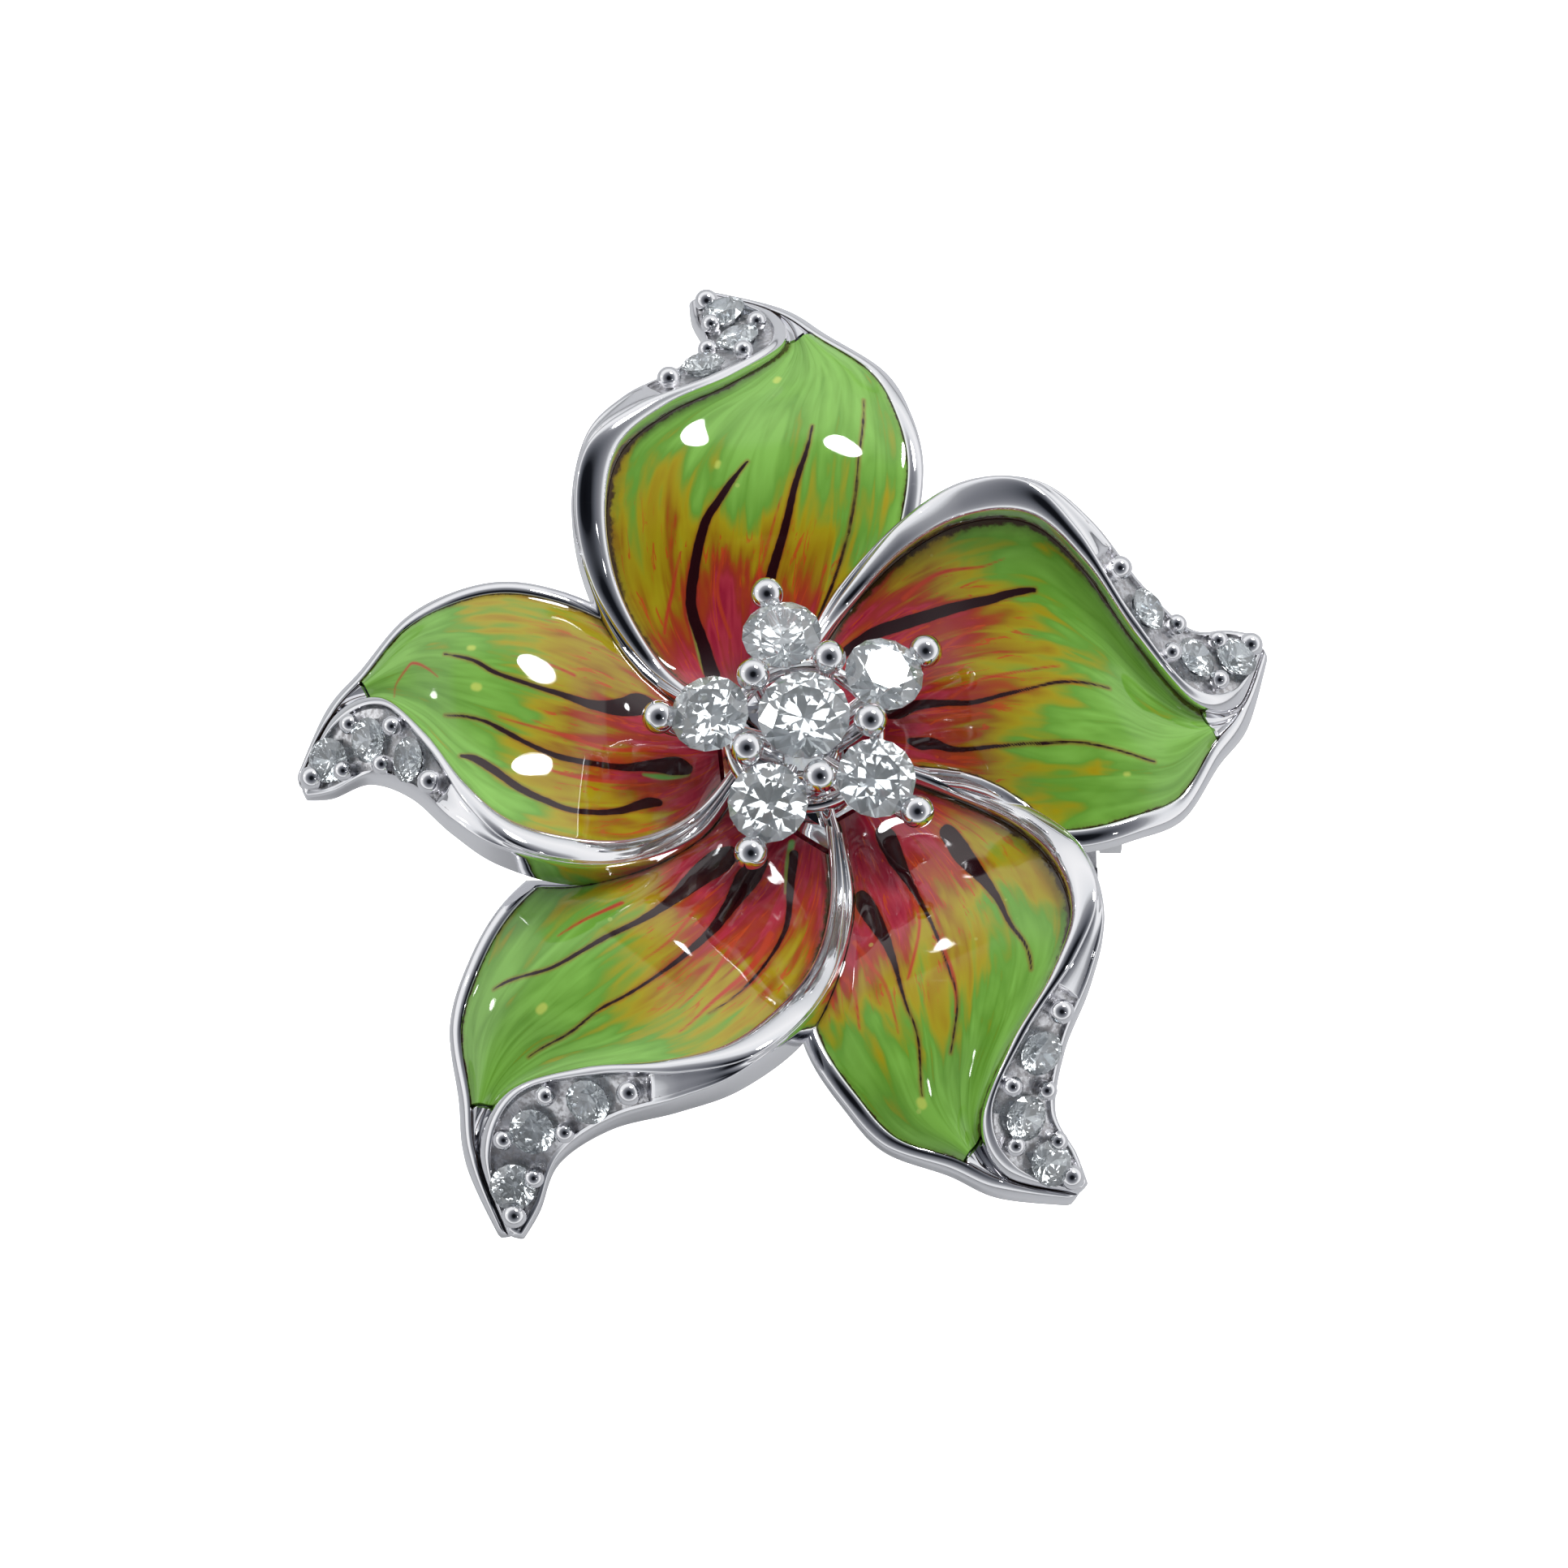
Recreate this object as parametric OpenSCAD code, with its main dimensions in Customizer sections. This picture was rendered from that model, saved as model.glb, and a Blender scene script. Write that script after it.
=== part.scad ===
/* [Flower] */
// Height of the petal plane above the pin stem's axis
flower_z = 5.6; // [5.4:0.1:7]
// Turn of each petal about the flower's axis, in degrees
petal_turn = [1, -8, -8.5, -4, 20.5]; // [-25:0.5:25]
// Shift of each petal's root to its left and right
petal_shift_x = [-0.7, -0.5, 0.1, -0.4, 1.2]; // [-2:0.1:2]
// Shift of each petal's root outwards
petal_shift_y = [-0.3, -0.9, 0.3, -0.1, 1.1]; // [-2:0.1:2]
// Stretch of each petal across its width
petal_wide = [1.05, 1.1, 0.97, 0.97, 0.96]; // [0.8:0.01:1.2]
// Stretch of each petal along its length
petal_long = [1.05, 0.97, 0.97, 1.08, 0.93]; // [0.8:0.01:1.2]
// Sideways curl of each petal's tip, in degrees
petal_curl = [3, -0.5, 0, 3.5, 1]; // [-8:0.5:8]
// Rise of each petal's tip
petal_lift = [-0.8, 0.2, 0.4, 0.2, 0]; // [-2:0.1:2]
// Sideways lean of each petal, as a slope
petal_roll = [0.05, -0.03, 0.1, -0.1, 0]; // [-0.3:0.01:0.3]
// Thickness of the enamel
enamel_t = 0.3; // [0.15:0.05:0.5]
// Thickness of the metal under the enamel
floor_t = 0.5; // [0.3:0.05:0.9]
// Width of the thin rim along a petal's trailing edge
trail_rim_w = 0.55; // [0.3:0.05:0.8]

/* [Stones] */
// Radius of the centre stone
centre_stone_r = 1.5; // [1:0.05:1.6]
// Radius of each of the five stones round it
ring_stone_r = 1.3; // [0.9:0.05:1.35]
// Distance of those five from the flower's axis
ring_stone_at = 3.05; // [2.9:0.05:3.4]
// Outward tilt of those five, in degrees
ring_stone_tilt = 14; // [0:1:25]
// Radius of the small stones in a petal's tip
tip_stone_r = 0.75; // [0.5:0.05:0.8]
// Radius of the ball on each large claw
claw_ball_r = 0.55; // [0.4:0.05:0.6]
// Radius of the wire of each large claw
claw_wire_r = 0.27; // [0.2:0.01:0.35]
// Radius of the small claw balls in a petal's tip
tip_claw_r = 0.34; // [0.25:0.01:0.4]

/* [Pin fitting] */
// Length of the bar behind the flower
bar_l = 22; // [20:0.5:24]
// Width of that bar
bar_w = 4; // [3:0.1:5]
// Thickness of that bar
bar_t = 0.9; // [0.6:0.1:1.2]
// Height of the bar's rear face above the pin stem's axis
bar_z = 2.4; // [2.2:0.1:3]
// Distance of the hinge and of the catch from the middle
fitting_x = 9.5; // [9:0.1:10]
// Radius of the pin stem
stem_r = 0.45; // [0.35:0.01:0.5]
// Radius of the hinge's rivet
rivet_r = 0.5; // [0.4:0.05:0.6]
// Radial clearance of the hinge and of the catch's roller
run_gap = 0.05; // [0.02:0.01:0.08]

/* [Hidden] */
$fn = 48;

// A petal is drawn pointing along +Y. Each row is one station from root to tip.
// Crest of the thick leading rim
LEAD = [
    [-2.3, 1.7, 0.8], [-4.0, 3.3, 0.5], [-5.3, 5.4, 1.6], [-5.7, 7.6, 3.0], [-5.2, 9.7, 3.7],
    [-3.6, 11.2, 3.3], [-1.3, 12.5, 2.3], [0.7, 14.1, 1.0], [0.7, 15.8, -0.3], [-1.1, 17.2, -1.4]
];
// Outer edge of the wall below that rim, which widens into the stone-set tip
OUTER = [
    [-2.7, 1.6, 0.7], [-4.5, 3.1, 0.4], [-5.8, 5.4, 1.5], [-6.3, 7.8, 2.9], [-5.7, 10.2, 3.5],
    [-4.4, 11.8, 2.9], [-2.7, 13.2, 1.5], [-1.6, 14.7, 0.0], [-1.7, 16.1, -1.0], [-1.6, 17.1, -1.5]
];
// Trailing edge, which tucks under the next petal for the first third
TRAIL = [
    [0.9, 1.9, 0.1], [2.4, 3.6, -0.2], [3.7, 5.6, 0.0], [4.5, 7.6, 0.6], [4.9, 9.6, 0.8],
    [4.7, 11.5, 0.6], [4.1, 13.3, -0.1], [2.5, 14.9, -0.5], [1.3, 16.2, -1.0], [-0.9, 17.4, -1.6]
];
// Height of the outer wall, depth of the inner wall and width of the crest
WALL_OUT = [0.9, 1.0, 1.6, 2.0, 1.9, 1.6, 1.2, 1.0, 0.8, 0.5];
WALL_IN = [0.35, 0.4, 0.7, 0.9, 1.0, 0.9, 0.7, 0.45, 0.3, 0.2];
CREST_W = [0.5, 0.6, 0.8, 0.95, 1.0, 1.0, 0.9, 0.8, 0.6, 0.4];
LAST = len(LEAD) - 1;
STEPS = 26;
ENAMEL_FROM = 0.05;
ENAMEL_TO = 0.79;
ENAMEL_GAP = 0.015;
SWAY = 0.3;
WALL_POINTS = 30;
WALL_GAP = 0.04;
PETAL_ANGLE = 72;
TIP_STONE_AT = [0.690, 0.795, 0.905];
TIP_CLAW_AT = [0.625, 0.742, 0.742, 0.850, 0.850, 0.955];
TIP_CLAW_SIDE = [0, -1, 1, -1, 1, 0];
TABLE = 0.57;
CROWN = 0.34;
GIRDLE = 0.05;
PAVILION = 0.86;

function mix(a, b, t) = a + (b - a) * t;
function along(p, t) = let(
    s = min(max(t, 0), 1) * LAST,
    i = min(floor(s), LAST - 1),
    f = s - i,
    a = p[max(i - 1, 0)],
    b = p[i],
    c = p[i + 1],
    d = p[min(i + 2, LAST)]
) 0.5 * (2 * b + (c - a) * f + (2 * a - 5 * b + 4 * c - d) * f * f + (3 * b - a - 3 * c + d) * f * f * f);
function unit(v) = v / norm(v);
// Puts a point of the plain petal on petal k of the flower
function placed(p, k) = let(
    x = p[0] * petal_wide[k],
    y = p[1] * petal_long[k],
    r = norm([x, y]),
    a = atan2(y, x) + petal_turn[k] + petal_curl[k] * r * r / 256,
    z = p[2] + petal_lift[k] * r * r / 256 + petal_roll[k] * x,
    q = [r * cos(a) + petal_shift_x[k], r * sin(a) + petal_shift_y[k]],
    t = -PETAL_ANGLE * k
) [q[0] * cos(t) - q[1] * sin(t), q[0] * sin(t) + q[1] * cos(t), z + flower_z];

// How far along pq, in plan, the segment rs crosses it; more than 1 where it doesn't
function crossing(p, q, r, s) = let(
    d = [q[0] - p[0], q[1] - p[1]],
    g = [s[0] - r[0], s[1] - r[1]],
    h = [r[0] - p[0], r[1] - p[1]],
    det = d[0] * g[1] - d[1] * g[0],
    u = (h[0] * g[1] - h[1] * g[0]) / det,
    w = (h[0] * d[1] - h[1] * d[0]) / det
) abs(det) < 1e-9 || u < 0 || w < 0 || w > 1 ? 2 : u;
// Outer wall of the petal that overlaps petal k, with a first point near the flower's axis
function wall_over(k) = let(n = (k + 1) % 5) [
    for (i = [-1:WALL_POINTS]) i < 0 ? placed([0, 0, 0], n) : placed(along(OUTER, i / WALL_POINTS), n)
];
WALLS = [for (k = [0:4]) wall_over(k)];
// Share of the width from the leading rim to the trailing edge that isn't covered
function bare(t, k) = let(
    p = placed(along(LEAD, t), k),
    q = placed(along(TRAIL, t), k),
    w = WALLS[k]
) min([for (i = [0:WALL_POINTS]) crossing(p, q, w[i], w[i + 1])]);
// A section of petal k: leading crest, trailing edge, direction across, crest width, rim width, inner wall
function cut_at(t, k) = let(
    a = along(LEAD, t),
    full = along(TRAIL, t) - a,
    e = unit(full),
    share = min(1, bare(t, k) + (trail_rim_w - WALL_GAP) / norm(full)),
    b = a + full * share,
    s = min(1, norm(b - a) / (along(CREST_W, t) / 2 + trail_rim_w + 0.15))
) [a, b, e, along(CREST_W, t) * s, trail_rim_w * s, along(WALL_IN, t), t];
// Enamel's top surface: v runs from the leading rim to the trailing rim
function bed(c, v) = let(
    a = c[0] + c[2] * c[3] * 0.5 - [0, 0, c[5]],
    b = c[1] - c[2] * c[4] - [0, 0, 0.1]
) mix(a, b, v) - [0, 0, SWAY * sin(360 * v) * sin(180 * c[6])];
function down(h) = [0, 0, -h];
function petal_loop(t, k) = let(
    c = cut_at(t, k),
    a = c[0],
    b = c[1],
    e = c[2],
    w = c[3],
    r = c[4],
    o = along(OUTER, t)
) concat(
    [
        o + down(along(WALL_OUT, t)),
        o + down(0.12),
        mix(o, a - e * w * 0.5, 0.25),
        a - e * w * 0.42 + down(0.02),
        a + [0, 0, 0.08],
        a + e * w * 0.38 + [0, 0, 0.02],
        a + e * w * 0.5 + down(0.16),
        bed(c, 0) + down(enamel_t)
    ],
    [for (i = [1:5]) bed(c, i / 6) + down(enamel_t)],
    [
        bed(c, 1) + down(enamel_t),
        b - e * r * 0.85 + [0, 0, 0.02],
        b - e * r * 0.3 + [0, 0, 0.08],
        b + down(0.08),
        b + down(0.75)
    ],
    [for (v = [0.75, 0.5, 0.25]) bed(c, v) + down(enamel_t + floor_t)]
);
function enamel_loop(t, k) = let(
    c = cut_at(t, k),
    n = 6
) concat(
    [for (i = [0:n]) bed(c, i / n) + c[2] * ENAMEL_GAP * (1 - 2 * i / n)],
    [for (i = [n:-1:0]) bed(c, i / n) + c[2] * ENAMEL_GAP * (1 - 2 * i / n) + down(enamel_t - ENAMEL_GAP)]
);
// Joins one loop to the next, for loops of m points at n stations
function skin(n, m) = [
    for (i = [0:n - 2], j = [0:m - 1])
        each [
            [i * m + j, (i + 1) * m + j, (i + 1) * m + (j + 1) % m],
            [i * m + j, (i + 1) * m + (j + 1) % m, i * m + (j + 1) % m]
        ]
];
// Closes a petal's end between its top points and its underside
PETAL_CAP = [
    [0, 1, 2], [0, 2, 3], [0, 3, 4], [0, 4, 5], [0, 5, 6], [0, 6, 7], [0, 7, 20], [20, 7, 8], [20, 8, 9],
    [20, 9, 19], [19, 9, 10], [19, 10, 11], [19, 11, 18], [18, 11, 12], [18, 12, 13], [18, 13, 17],
    [17, 13, 14], [17, 14, 15], [17, 15, 16]
];
ENAMEL_CAP = [for (i = [0:5]) each [[i, i + 1, 12 - i], [i, 12 - i, 13 - i]]];
function moved(c, s) = [for (f = c) [f[0] + s, f[1] + s, f[2] + s]];
function flipped(c) = [for (f = c) [f[0], f[2], f[1]]];

module loft(pts, n, m, cap) {
    polyhedron(
        points = pts,
        faces = concat(flipped(skin(n, m)), flipped(cap), moved(cap, (n - 1) * m)),
        convexity = 8
    );
}
module petal(k) {
    n = STEPS + 1;
    loft([for (i = [0:STEPS]) each [for (p = petal_loop(i / STEPS, k)) placed(p, k)]], n, 21, PETAL_CAP);
}
module petal_enamel(k) {
    n = STEPS + 1;
    at = [for (i = [0:STEPS]) mix(ENAMEL_FROM, ENAMEL_TO, i / STEPS)];
    loft([for (t = at) each [for (p = enamel_loop(t, k)) placed(p, k)]], n, 14, ENAMEL_CAP);
}
// Middle of the stone-set flange, and a point off to one side of it
function flange(t, side) = mix(
    along(OUTER, t),
    along(LEAD, t) - unit(along(TRAIL, t) - along(LEAD, t)) * along(CREST_W, t) * 0.4,
    0.5 + side
);
function flange_up(t, k) = unit(cross(
    placed(flange(t, 0.4), k) - placed(flange(t, -0.4), k),
    placed(flange(t + 0.02, 0), k) - placed(flange(t - 0.02, 0), k)
));
module aimed(p, n) {
    translate(p) rotate([0, acos(n[2]), atan2(n[1], n[0])]) children();
}
module stone(r) {
    rotate_extrude()
        polygon([
            [0, -PAVILION * r],
            [r, -GIRDLE * r],
            [r, GIRDLE * r],
            [TABLE * r, CROWN * r],
            [0, CROWN * r]
        ]);
}
module petal_stones(k) {
    for (t = TIP_STONE_AT)
        aimed(placed(flange(t, 0), k) + 0.1 * flange_up(t, k), flange_up(t, k))
            stone(tip_stone_r);
}
module petal_claws(k) {
    for (i = [0:len(TIP_CLAW_AT) - 1]) {
        t = TIP_CLAW_AT[i];
        r = TIP_CLAW_SIDE[i] == 0 ? tip_claw_r * 1.2 : tip_claw_r;
        aimed(placed(flange(t, TIP_CLAW_SIDE[i] * 0.3), k), flange_up(t, k)) {
            translate([0, 0, 0.12]) sphere(r);
            translate([0, 0, -0.45]) cylinder(h = 0.57, r = r * 0.7);
        }
    }
}

POST_R = 1.25;
module flower_hub() {
    post_top = flower_z + 1.0;
    base = bar_z + bar_t;
    rotate_extrude()
        polygon([
            [0, base], [3.7, base], [4.0, base + 0.3], [4.0, flower_z - 1.0], [3.6, flower_z - 0.7],
            [POST_R, flower_z - 0.4], [POST_R, post_top - 0.2], [POST_R - 0.2, post_top], [0, post_top]
        ]);
}
RING_START = 103.6;
function ring_angle(k) = RING_START - PETAL_ANGLE * k;
CENTRE_Z = flower_z + 3.5;
RING_Z = flower_z + 3.0;
GALLERY_R = 2.4;
GALLERY_Z = flower_z + 1.55;
module rod(a, b, r) {
    v = b - a;
    translate(a) rotate([0, acos(v[2] / norm(v)), atan2(v[1], v[0])]) cylinder(h = norm(v), r = r);
}
module gallery_ring() {
    translate([0, 0, GALLERY_Z]) rotate_extrude() translate([GALLERY_R, 0]) circle(0.26);
    for (k = [0:4])
        rotate([0, 0, ring_angle(k)])
            rod([POST_R - 0.25, 0, flower_z + 0.8], [GALLERY_R + 0.06, 0, GALLERY_Z + 0.03], 0.24);
}
module inner_claws() {
    for (k = [0:4])
        rotate([0, 0, ring_angle(k) - PETAL_ANGLE / 2]) {
            rod([POST_R - 0.25, 0, flower_z + 0.7], [2.15, 0, CENTRE_Z], claw_wire_r);
            translate([2.15, 0, CENTRE_Z]) sphere(claw_ball_r);
        }
}
module outer_claws() {
    for (k = [0:4])
        rotate([0, 0, ring_angle(k) + 1.2]) {
            knee = [4.35, 0, GALLERY_Z + 0.1];
            rod([GALLERY_R - 0.1, 0, GALLERY_Z], knee, claw_wire_r);
            translate(knee) sphere(claw_wire_r + 0.05);
            rod(knee, [4.7, 0, flower_z + 2.6], claw_wire_r);
            translate([4.7, 0, flower_z + 2.6]) sphere(claw_ball_r);
        }
}
module centre_stone() {
    translate([0, 0, CENTRE_Z]) stone(centre_stone_r);
}
module ring_stone(k) {
    rotate([0, 0, ring_angle(k)])
        translate([ring_stone_at, 0, RING_Z])
            rotate([0, ring_stone_tilt, 0])
                stone(ring_stone_r);
}

EAR_IN = 0.72;
EAR_T = 0.6;
EAR_R = 1.2;
module pin_bar() {
    half = bar_l / 2 - bar_w / 2;
    translate([0, 0, bar_z]) linear_extrude(bar_t) {
        square([2 * half, bar_w], center = true);
        translate([-half, 0]) circle(bar_w / 2);
        translate([half, 0]) circle(bar_w / 2);
    }
}
module hinge_bracket() {
    foot_z = 1.5;
    width = 2 * (EAR_IN + EAR_T);
    difference() {
        union() {
            translate([-fitting_x - EAR_R, -width / 2, foot_z]) cube([2 * EAR_R, width, bar_z - foot_z]);
            for (s = [-1, 1])
                translate([-fitting_x, s * (EAR_IN + EAR_T / 2), 0]) {
                    rotate([90, 0, 0]) cylinder(h = EAR_T, r = EAR_R, center = true);
                    translate([-EAR_R, -EAR_T / 2, 0]) cube([2 * EAR_R, EAR_T, foot_z]);
                }
        }
        translate([-fitting_x, 0, 0]) rotate([90, 0, 0]) cylinder(h = 2 * width, r = rivet_r, center = true);
    }
}
module hinge_rivet() {
    half = EAR_IN + EAR_T;
    translate([-fitting_x, 0, 0]) rotate([90, 0, 0]) {
        cylinder(h = 2 * half, r = rivet_r, center = true);
        for (s = [-1, 1])
            translate([0, 0, s * (half + 0.12)]) cylinder(h = 0.24, r = rivet_r + 0.25, center = true);
    }
}
EYE_R = 1.1;
COLLAR_X = -8;
TAPER_X = 8;
POINT_X = 12;
module pin_stem() {
    difference() {
        union() {
            translate([-fitting_x, 0, 0]) rotate([90, 0, 0]) cylinder(h = 2 * EAR_IN - 0.12, r = EYE_R, center = true);
            translate([-fitting_x + 0.8, 0, 0]) rotate([0, 90, 0]) cylinder(h = COLLAR_X + fitting_x - 0.8, r = 0.62);
        }
        translate([-fitting_x, 0, 0]) rotate([90, 0, 0]) cylinder(h = 4, r = rivet_r + run_gap, center = true);
    }
    translate([COLLAR_X, 0, 0]) rotate([0, 90, 0]) cylinder(h = TAPER_X - COLLAR_X, r = stem_r);
    translate([TAPER_X, 0, 0]) rotate([0, 90, 0]) cylinder(h = POINT_X - TAPER_X, r1 = stem_r, r2 = 0.03);
}
ROLLER_R = 1.3;
BOSS_R = 0.85;
CHEEK_R = 1.5;
CHEEK_T = 0.7;
ROLLER_T = 0.9;
THROAT = 1.12;
module on_x(x, h, r) {
    translate([x, 0, 0]) rotate([0, 90, 0]) cylinder(h = h, r = r, center = true);
}
module catch_body() {
    cheek_x = ROLLER_T / 2 + 0.06 + CHEEK_T / 2;
    long = ROLLER_T + 0.12 + 2 * CHEEK_T;
    translate([fitting_x, 0, 0]) {
        difference() {
            for (s = [-1, 1]) on_x(s * cheek_x, CHEEK_T, CHEEK_R);
            on_x(0, 2 * long, BOSS_R + run_gap);
            translate([-long, -THROAT / 2, -3]) cube([2 * long, THROAT, 3]);
        }
        translate([-long / 2, -1, 1.42]) cube([long, 2, bar_z - 1.42]);
    }
}
module catch_roller() {
    long = ROLLER_T + 0.12 + 2 * CHEEK_T;
    translate([fitting_x, 0, 0]) {
        difference() {
            union() {
                on_x(0, long, BOSS_R);
                on_x(0, ROLLER_T, ROLLER_R);
            }
            on_x(0, 2 * long, 0.56);
            translate([-long, -THROAT / 2, -3]) cube([2 * long, THROAT, 3]);
        }
        translate([-0.35, -2.5, -0.25]) cube([0.7, 1.5, 0.5]);
        translate([0, -2.5, 0]) on_x(0, 0.7, 0.4);
    }
}

color("silver") petal(0);  // petal_1
color("silver") petal(1);  // petal_2
color("silver") petal(2);  // petal_3
color("silver") petal(3);  // petal_4
color("silver") petal(4);  // petal_5
color("limegreen") petal_enamel(0);  // petal_enamel_1
color("limegreen") petal_enamel(1);  // petal_enamel_2
color("limegreen") petal_enamel(2);  // petal_enamel_3
color("limegreen") petal_enamel(3);  // petal_enamel_4
color("limegreen") petal_enamel(4);  // petal_enamel_5
color("lightblue") petal_stones(0);  // petal_stones_1
color("lightblue") petal_stones(1);  // petal_stones_2
color("lightblue") petal_stones(2);  // petal_stones_3
color("lightblue") petal_stones(3);  // petal_stones_4
color("lightblue") petal_stones(4);  // petal_stones_5
color("silver") petal_claws(0);  // petal_claws_1
color("silver") petal_claws(1);  // petal_claws_2
color("silver") petal_claws(2);  // petal_claws_3
color("silver") petal_claws(3);  // petal_claws_4
color("silver") petal_claws(4);  // petal_claws_5
color("silver") flower_hub();
color("silver") gallery_ring();
color("silver") inner_claws();
color("silver") outer_claws();
color("lightblue") centre_stone();
color("lightblue") ring_stone(0);  // ring_stone_1
color("lightblue") ring_stone(1);  // ring_stone_2
color("lightblue") ring_stone(2);  // ring_stone_3
color("lightblue") ring_stone(3);  // ring_stone_4
color("lightblue") ring_stone(4);  // ring_stone_5
color("silver") pin_bar();
color("silver") hinge_bracket();
color("silver") hinge_rivet();
color("silver") pin_stem();
color("silver") catch_body();
color("silver") catch_roller();
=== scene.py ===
"""Visual model of an enamelled flower pin: five petals, a cluster of stones and a pin fitting behind."""

import logging
import math
from dataclasses import dataclass, field
from enum import Enum
from typing import Callable, Iterable, Sequence

import bmesh
import bpy
import numpy as np
from mathutils import Matrix, Vector


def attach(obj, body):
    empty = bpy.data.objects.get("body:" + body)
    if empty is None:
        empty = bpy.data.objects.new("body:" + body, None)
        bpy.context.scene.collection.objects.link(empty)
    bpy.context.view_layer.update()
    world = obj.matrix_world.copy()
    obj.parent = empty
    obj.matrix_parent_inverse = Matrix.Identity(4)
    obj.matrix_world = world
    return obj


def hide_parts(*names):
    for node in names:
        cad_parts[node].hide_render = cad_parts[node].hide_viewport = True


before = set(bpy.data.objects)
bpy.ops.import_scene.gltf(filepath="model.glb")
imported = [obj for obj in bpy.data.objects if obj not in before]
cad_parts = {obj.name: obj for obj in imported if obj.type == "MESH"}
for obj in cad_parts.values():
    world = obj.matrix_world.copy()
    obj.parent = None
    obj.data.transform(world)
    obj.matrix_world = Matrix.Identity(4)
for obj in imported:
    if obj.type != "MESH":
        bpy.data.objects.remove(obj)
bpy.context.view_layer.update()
LOG = logging.getLogger("flower_pin")
MM = 0.001

# A petal points along +Y. Each row is one station from root to tip, in millimetres.
LEAD = np.array([
    [-2.3, 1.7, 0.8], [-4.0, 3.3, 0.5], [-5.3, 5.4, 1.6], [-5.7, 7.6, 3.0], [-5.2, 9.7, 3.7],
    [-3.6, 11.2, 3.3], [-1.3, 12.5, 2.3], [0.7, 14.1, 1.0], [0.7, 15.8, -0.3], [-1.1, 17.2, -1.4],
])
OUTER = np.array([
    [-2.7, 1.6, 0.7], [-4.5, 3.1, 0.4], [-5.8, 5.4, 1.5], [-6.3, 7.8, 2.9], [-5.7, 10.2, 3.5],
    [-4.4, 11.8, 2.9], [-2.7, 13.2, 1.5], [-1.6, 14.7, 0.0], [-1.7, 16.1, -1.0], [-1.6, 17.1, -1.5],
])
TRAIL = np.array([
    [0.9, 1.9, 0.1], [2.4, 3.6, -0.2], [3.7, 5.6, 0.0], [4.5, 7.6, 0.6], [4.9, 9.6, 0.8],
    [4.7, 11.5, 0.6], [4.1, 13.3, -0.1], [2.5, 14.9, -0.5], [1.3, 16.2, -1.0], [-0.9, 17.4, -1.6],
])
WALL_OUT = np.array([0.9, 1.0, 1.6, 2.0, 1.9, 1.6, 1.2, 1.0, 0.8, 0.5])
WALL_IN = np.array([0.35, 0.4, 0.7, 0.9, 1.0, 0.9, 0.7, 0.45, 0.3, 0.2])
CREST_W = np.array([0.5, 0.6, 0.8, 0.95, 1.0, 1.0, 0.9, 0.8, 0.6, 0.4])
UP = np.array([0.0, 0.0, 1.0])


class Slot(Enum):
    """Material slots."""

    SILVER = "silver"
    ENAMEL = "enamel"
    STONE = "stone"
    FITTING = "fitting"


class Body(Enum):
    """Bodies that pieces ride on."""

    FLOWER = "flower"
    STEM = "stem"
    ROLLER = "roller"


def unit(v: np.ndarray) -> np.ndarray:
    """Vectors along the last axis, scaled to length 1."""
    return v / np.maximum(np.linalg.norm(v, axis=-1, keepdims=True), 1e-12)


def along(rows: np.ndarray, t: np.ndarray) -> np.ndarray:
    """Smooth curve through a table of stations.

    Args:
        rows: The stations, one row each.
        t: Places along the curve, 0 at the first station and 1 at the last.

    Returns:
        One row for each place.
    """
    last = len(rows) - 1
    s = np.clip(np.asarray(t, float), 0, 1) * last
    i = np.minimum(s.astype(int), last - 1)
    f = s - i
    if rows.ndim == 2:
        f = f[..., None]
    a, b, c, d = (rows[np.clip(i + n, 0, last)] for n in (-1, 0, 1, 2))
    return 0.5 * (2 * b + (c - a) * f + (2 * a - 5 * b + 4 * c - d) * f**2 + (3 * b - a - 3 * c + d) * f**3)


def smoothstep(lo: float, hi: float, x: np.ndarray) -> np.ndarray:
    """Smooth rise from 0 at lo to 1 at hi."""
    s = np.clip((x - lo) / (hi - lo), 0, 1)
    return s * s * (3 - 2 * s)


@dataclass(frozen=True)
class Bend:
    """How one petal differs from the plain petal: its turn, shifts, stretches, curl, lift and roll."""

    turn: float
    shift_x: float
    shift_y: float
    wide: float
    long: float
    curl: float
    lift: float
    roll: float


BENDS = (
    Bend(1, -0.7, -0.3, 1.05, 1.05, 3, -0.8, 0.05),
    Bend(-8, -0.5, -0.9, 1.1, 0.97, -0.5, 0.2, -0.03),
    Bend(-8.5, 0.1, 0.3, 0.97, 0.97, 0, 0.4, 0.1),
    Bend(-4, -0.4, -0.1, 0.97, 1.08, 3.5, 0.2, -0.1),
    Bend(20.5, 1.2, 1.1, 0.96, 0.93, 1, 0, 0),
)


@dataclass(frozen=True)
class Cut:
    """Sections of a petal at many stations.

    Attributes:
        t: Places along the petal.
        crest: Middle of the leading rim.
        edge: Outside of the trailing rim.
        e: Direction across, from the leading rim to the trailing rim.
        w: Width of the leading rim.
        r: Width of the trailing rim.
        deep: Depth of the enamel below the leading rim.
    """

    t: np.ndarray
    crest: np.ndarray
    edge: np.ndarray
    e: np.ndarray
    w: np.ndarray
    r: np.ndarray
    deep: np.ndarray


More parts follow.
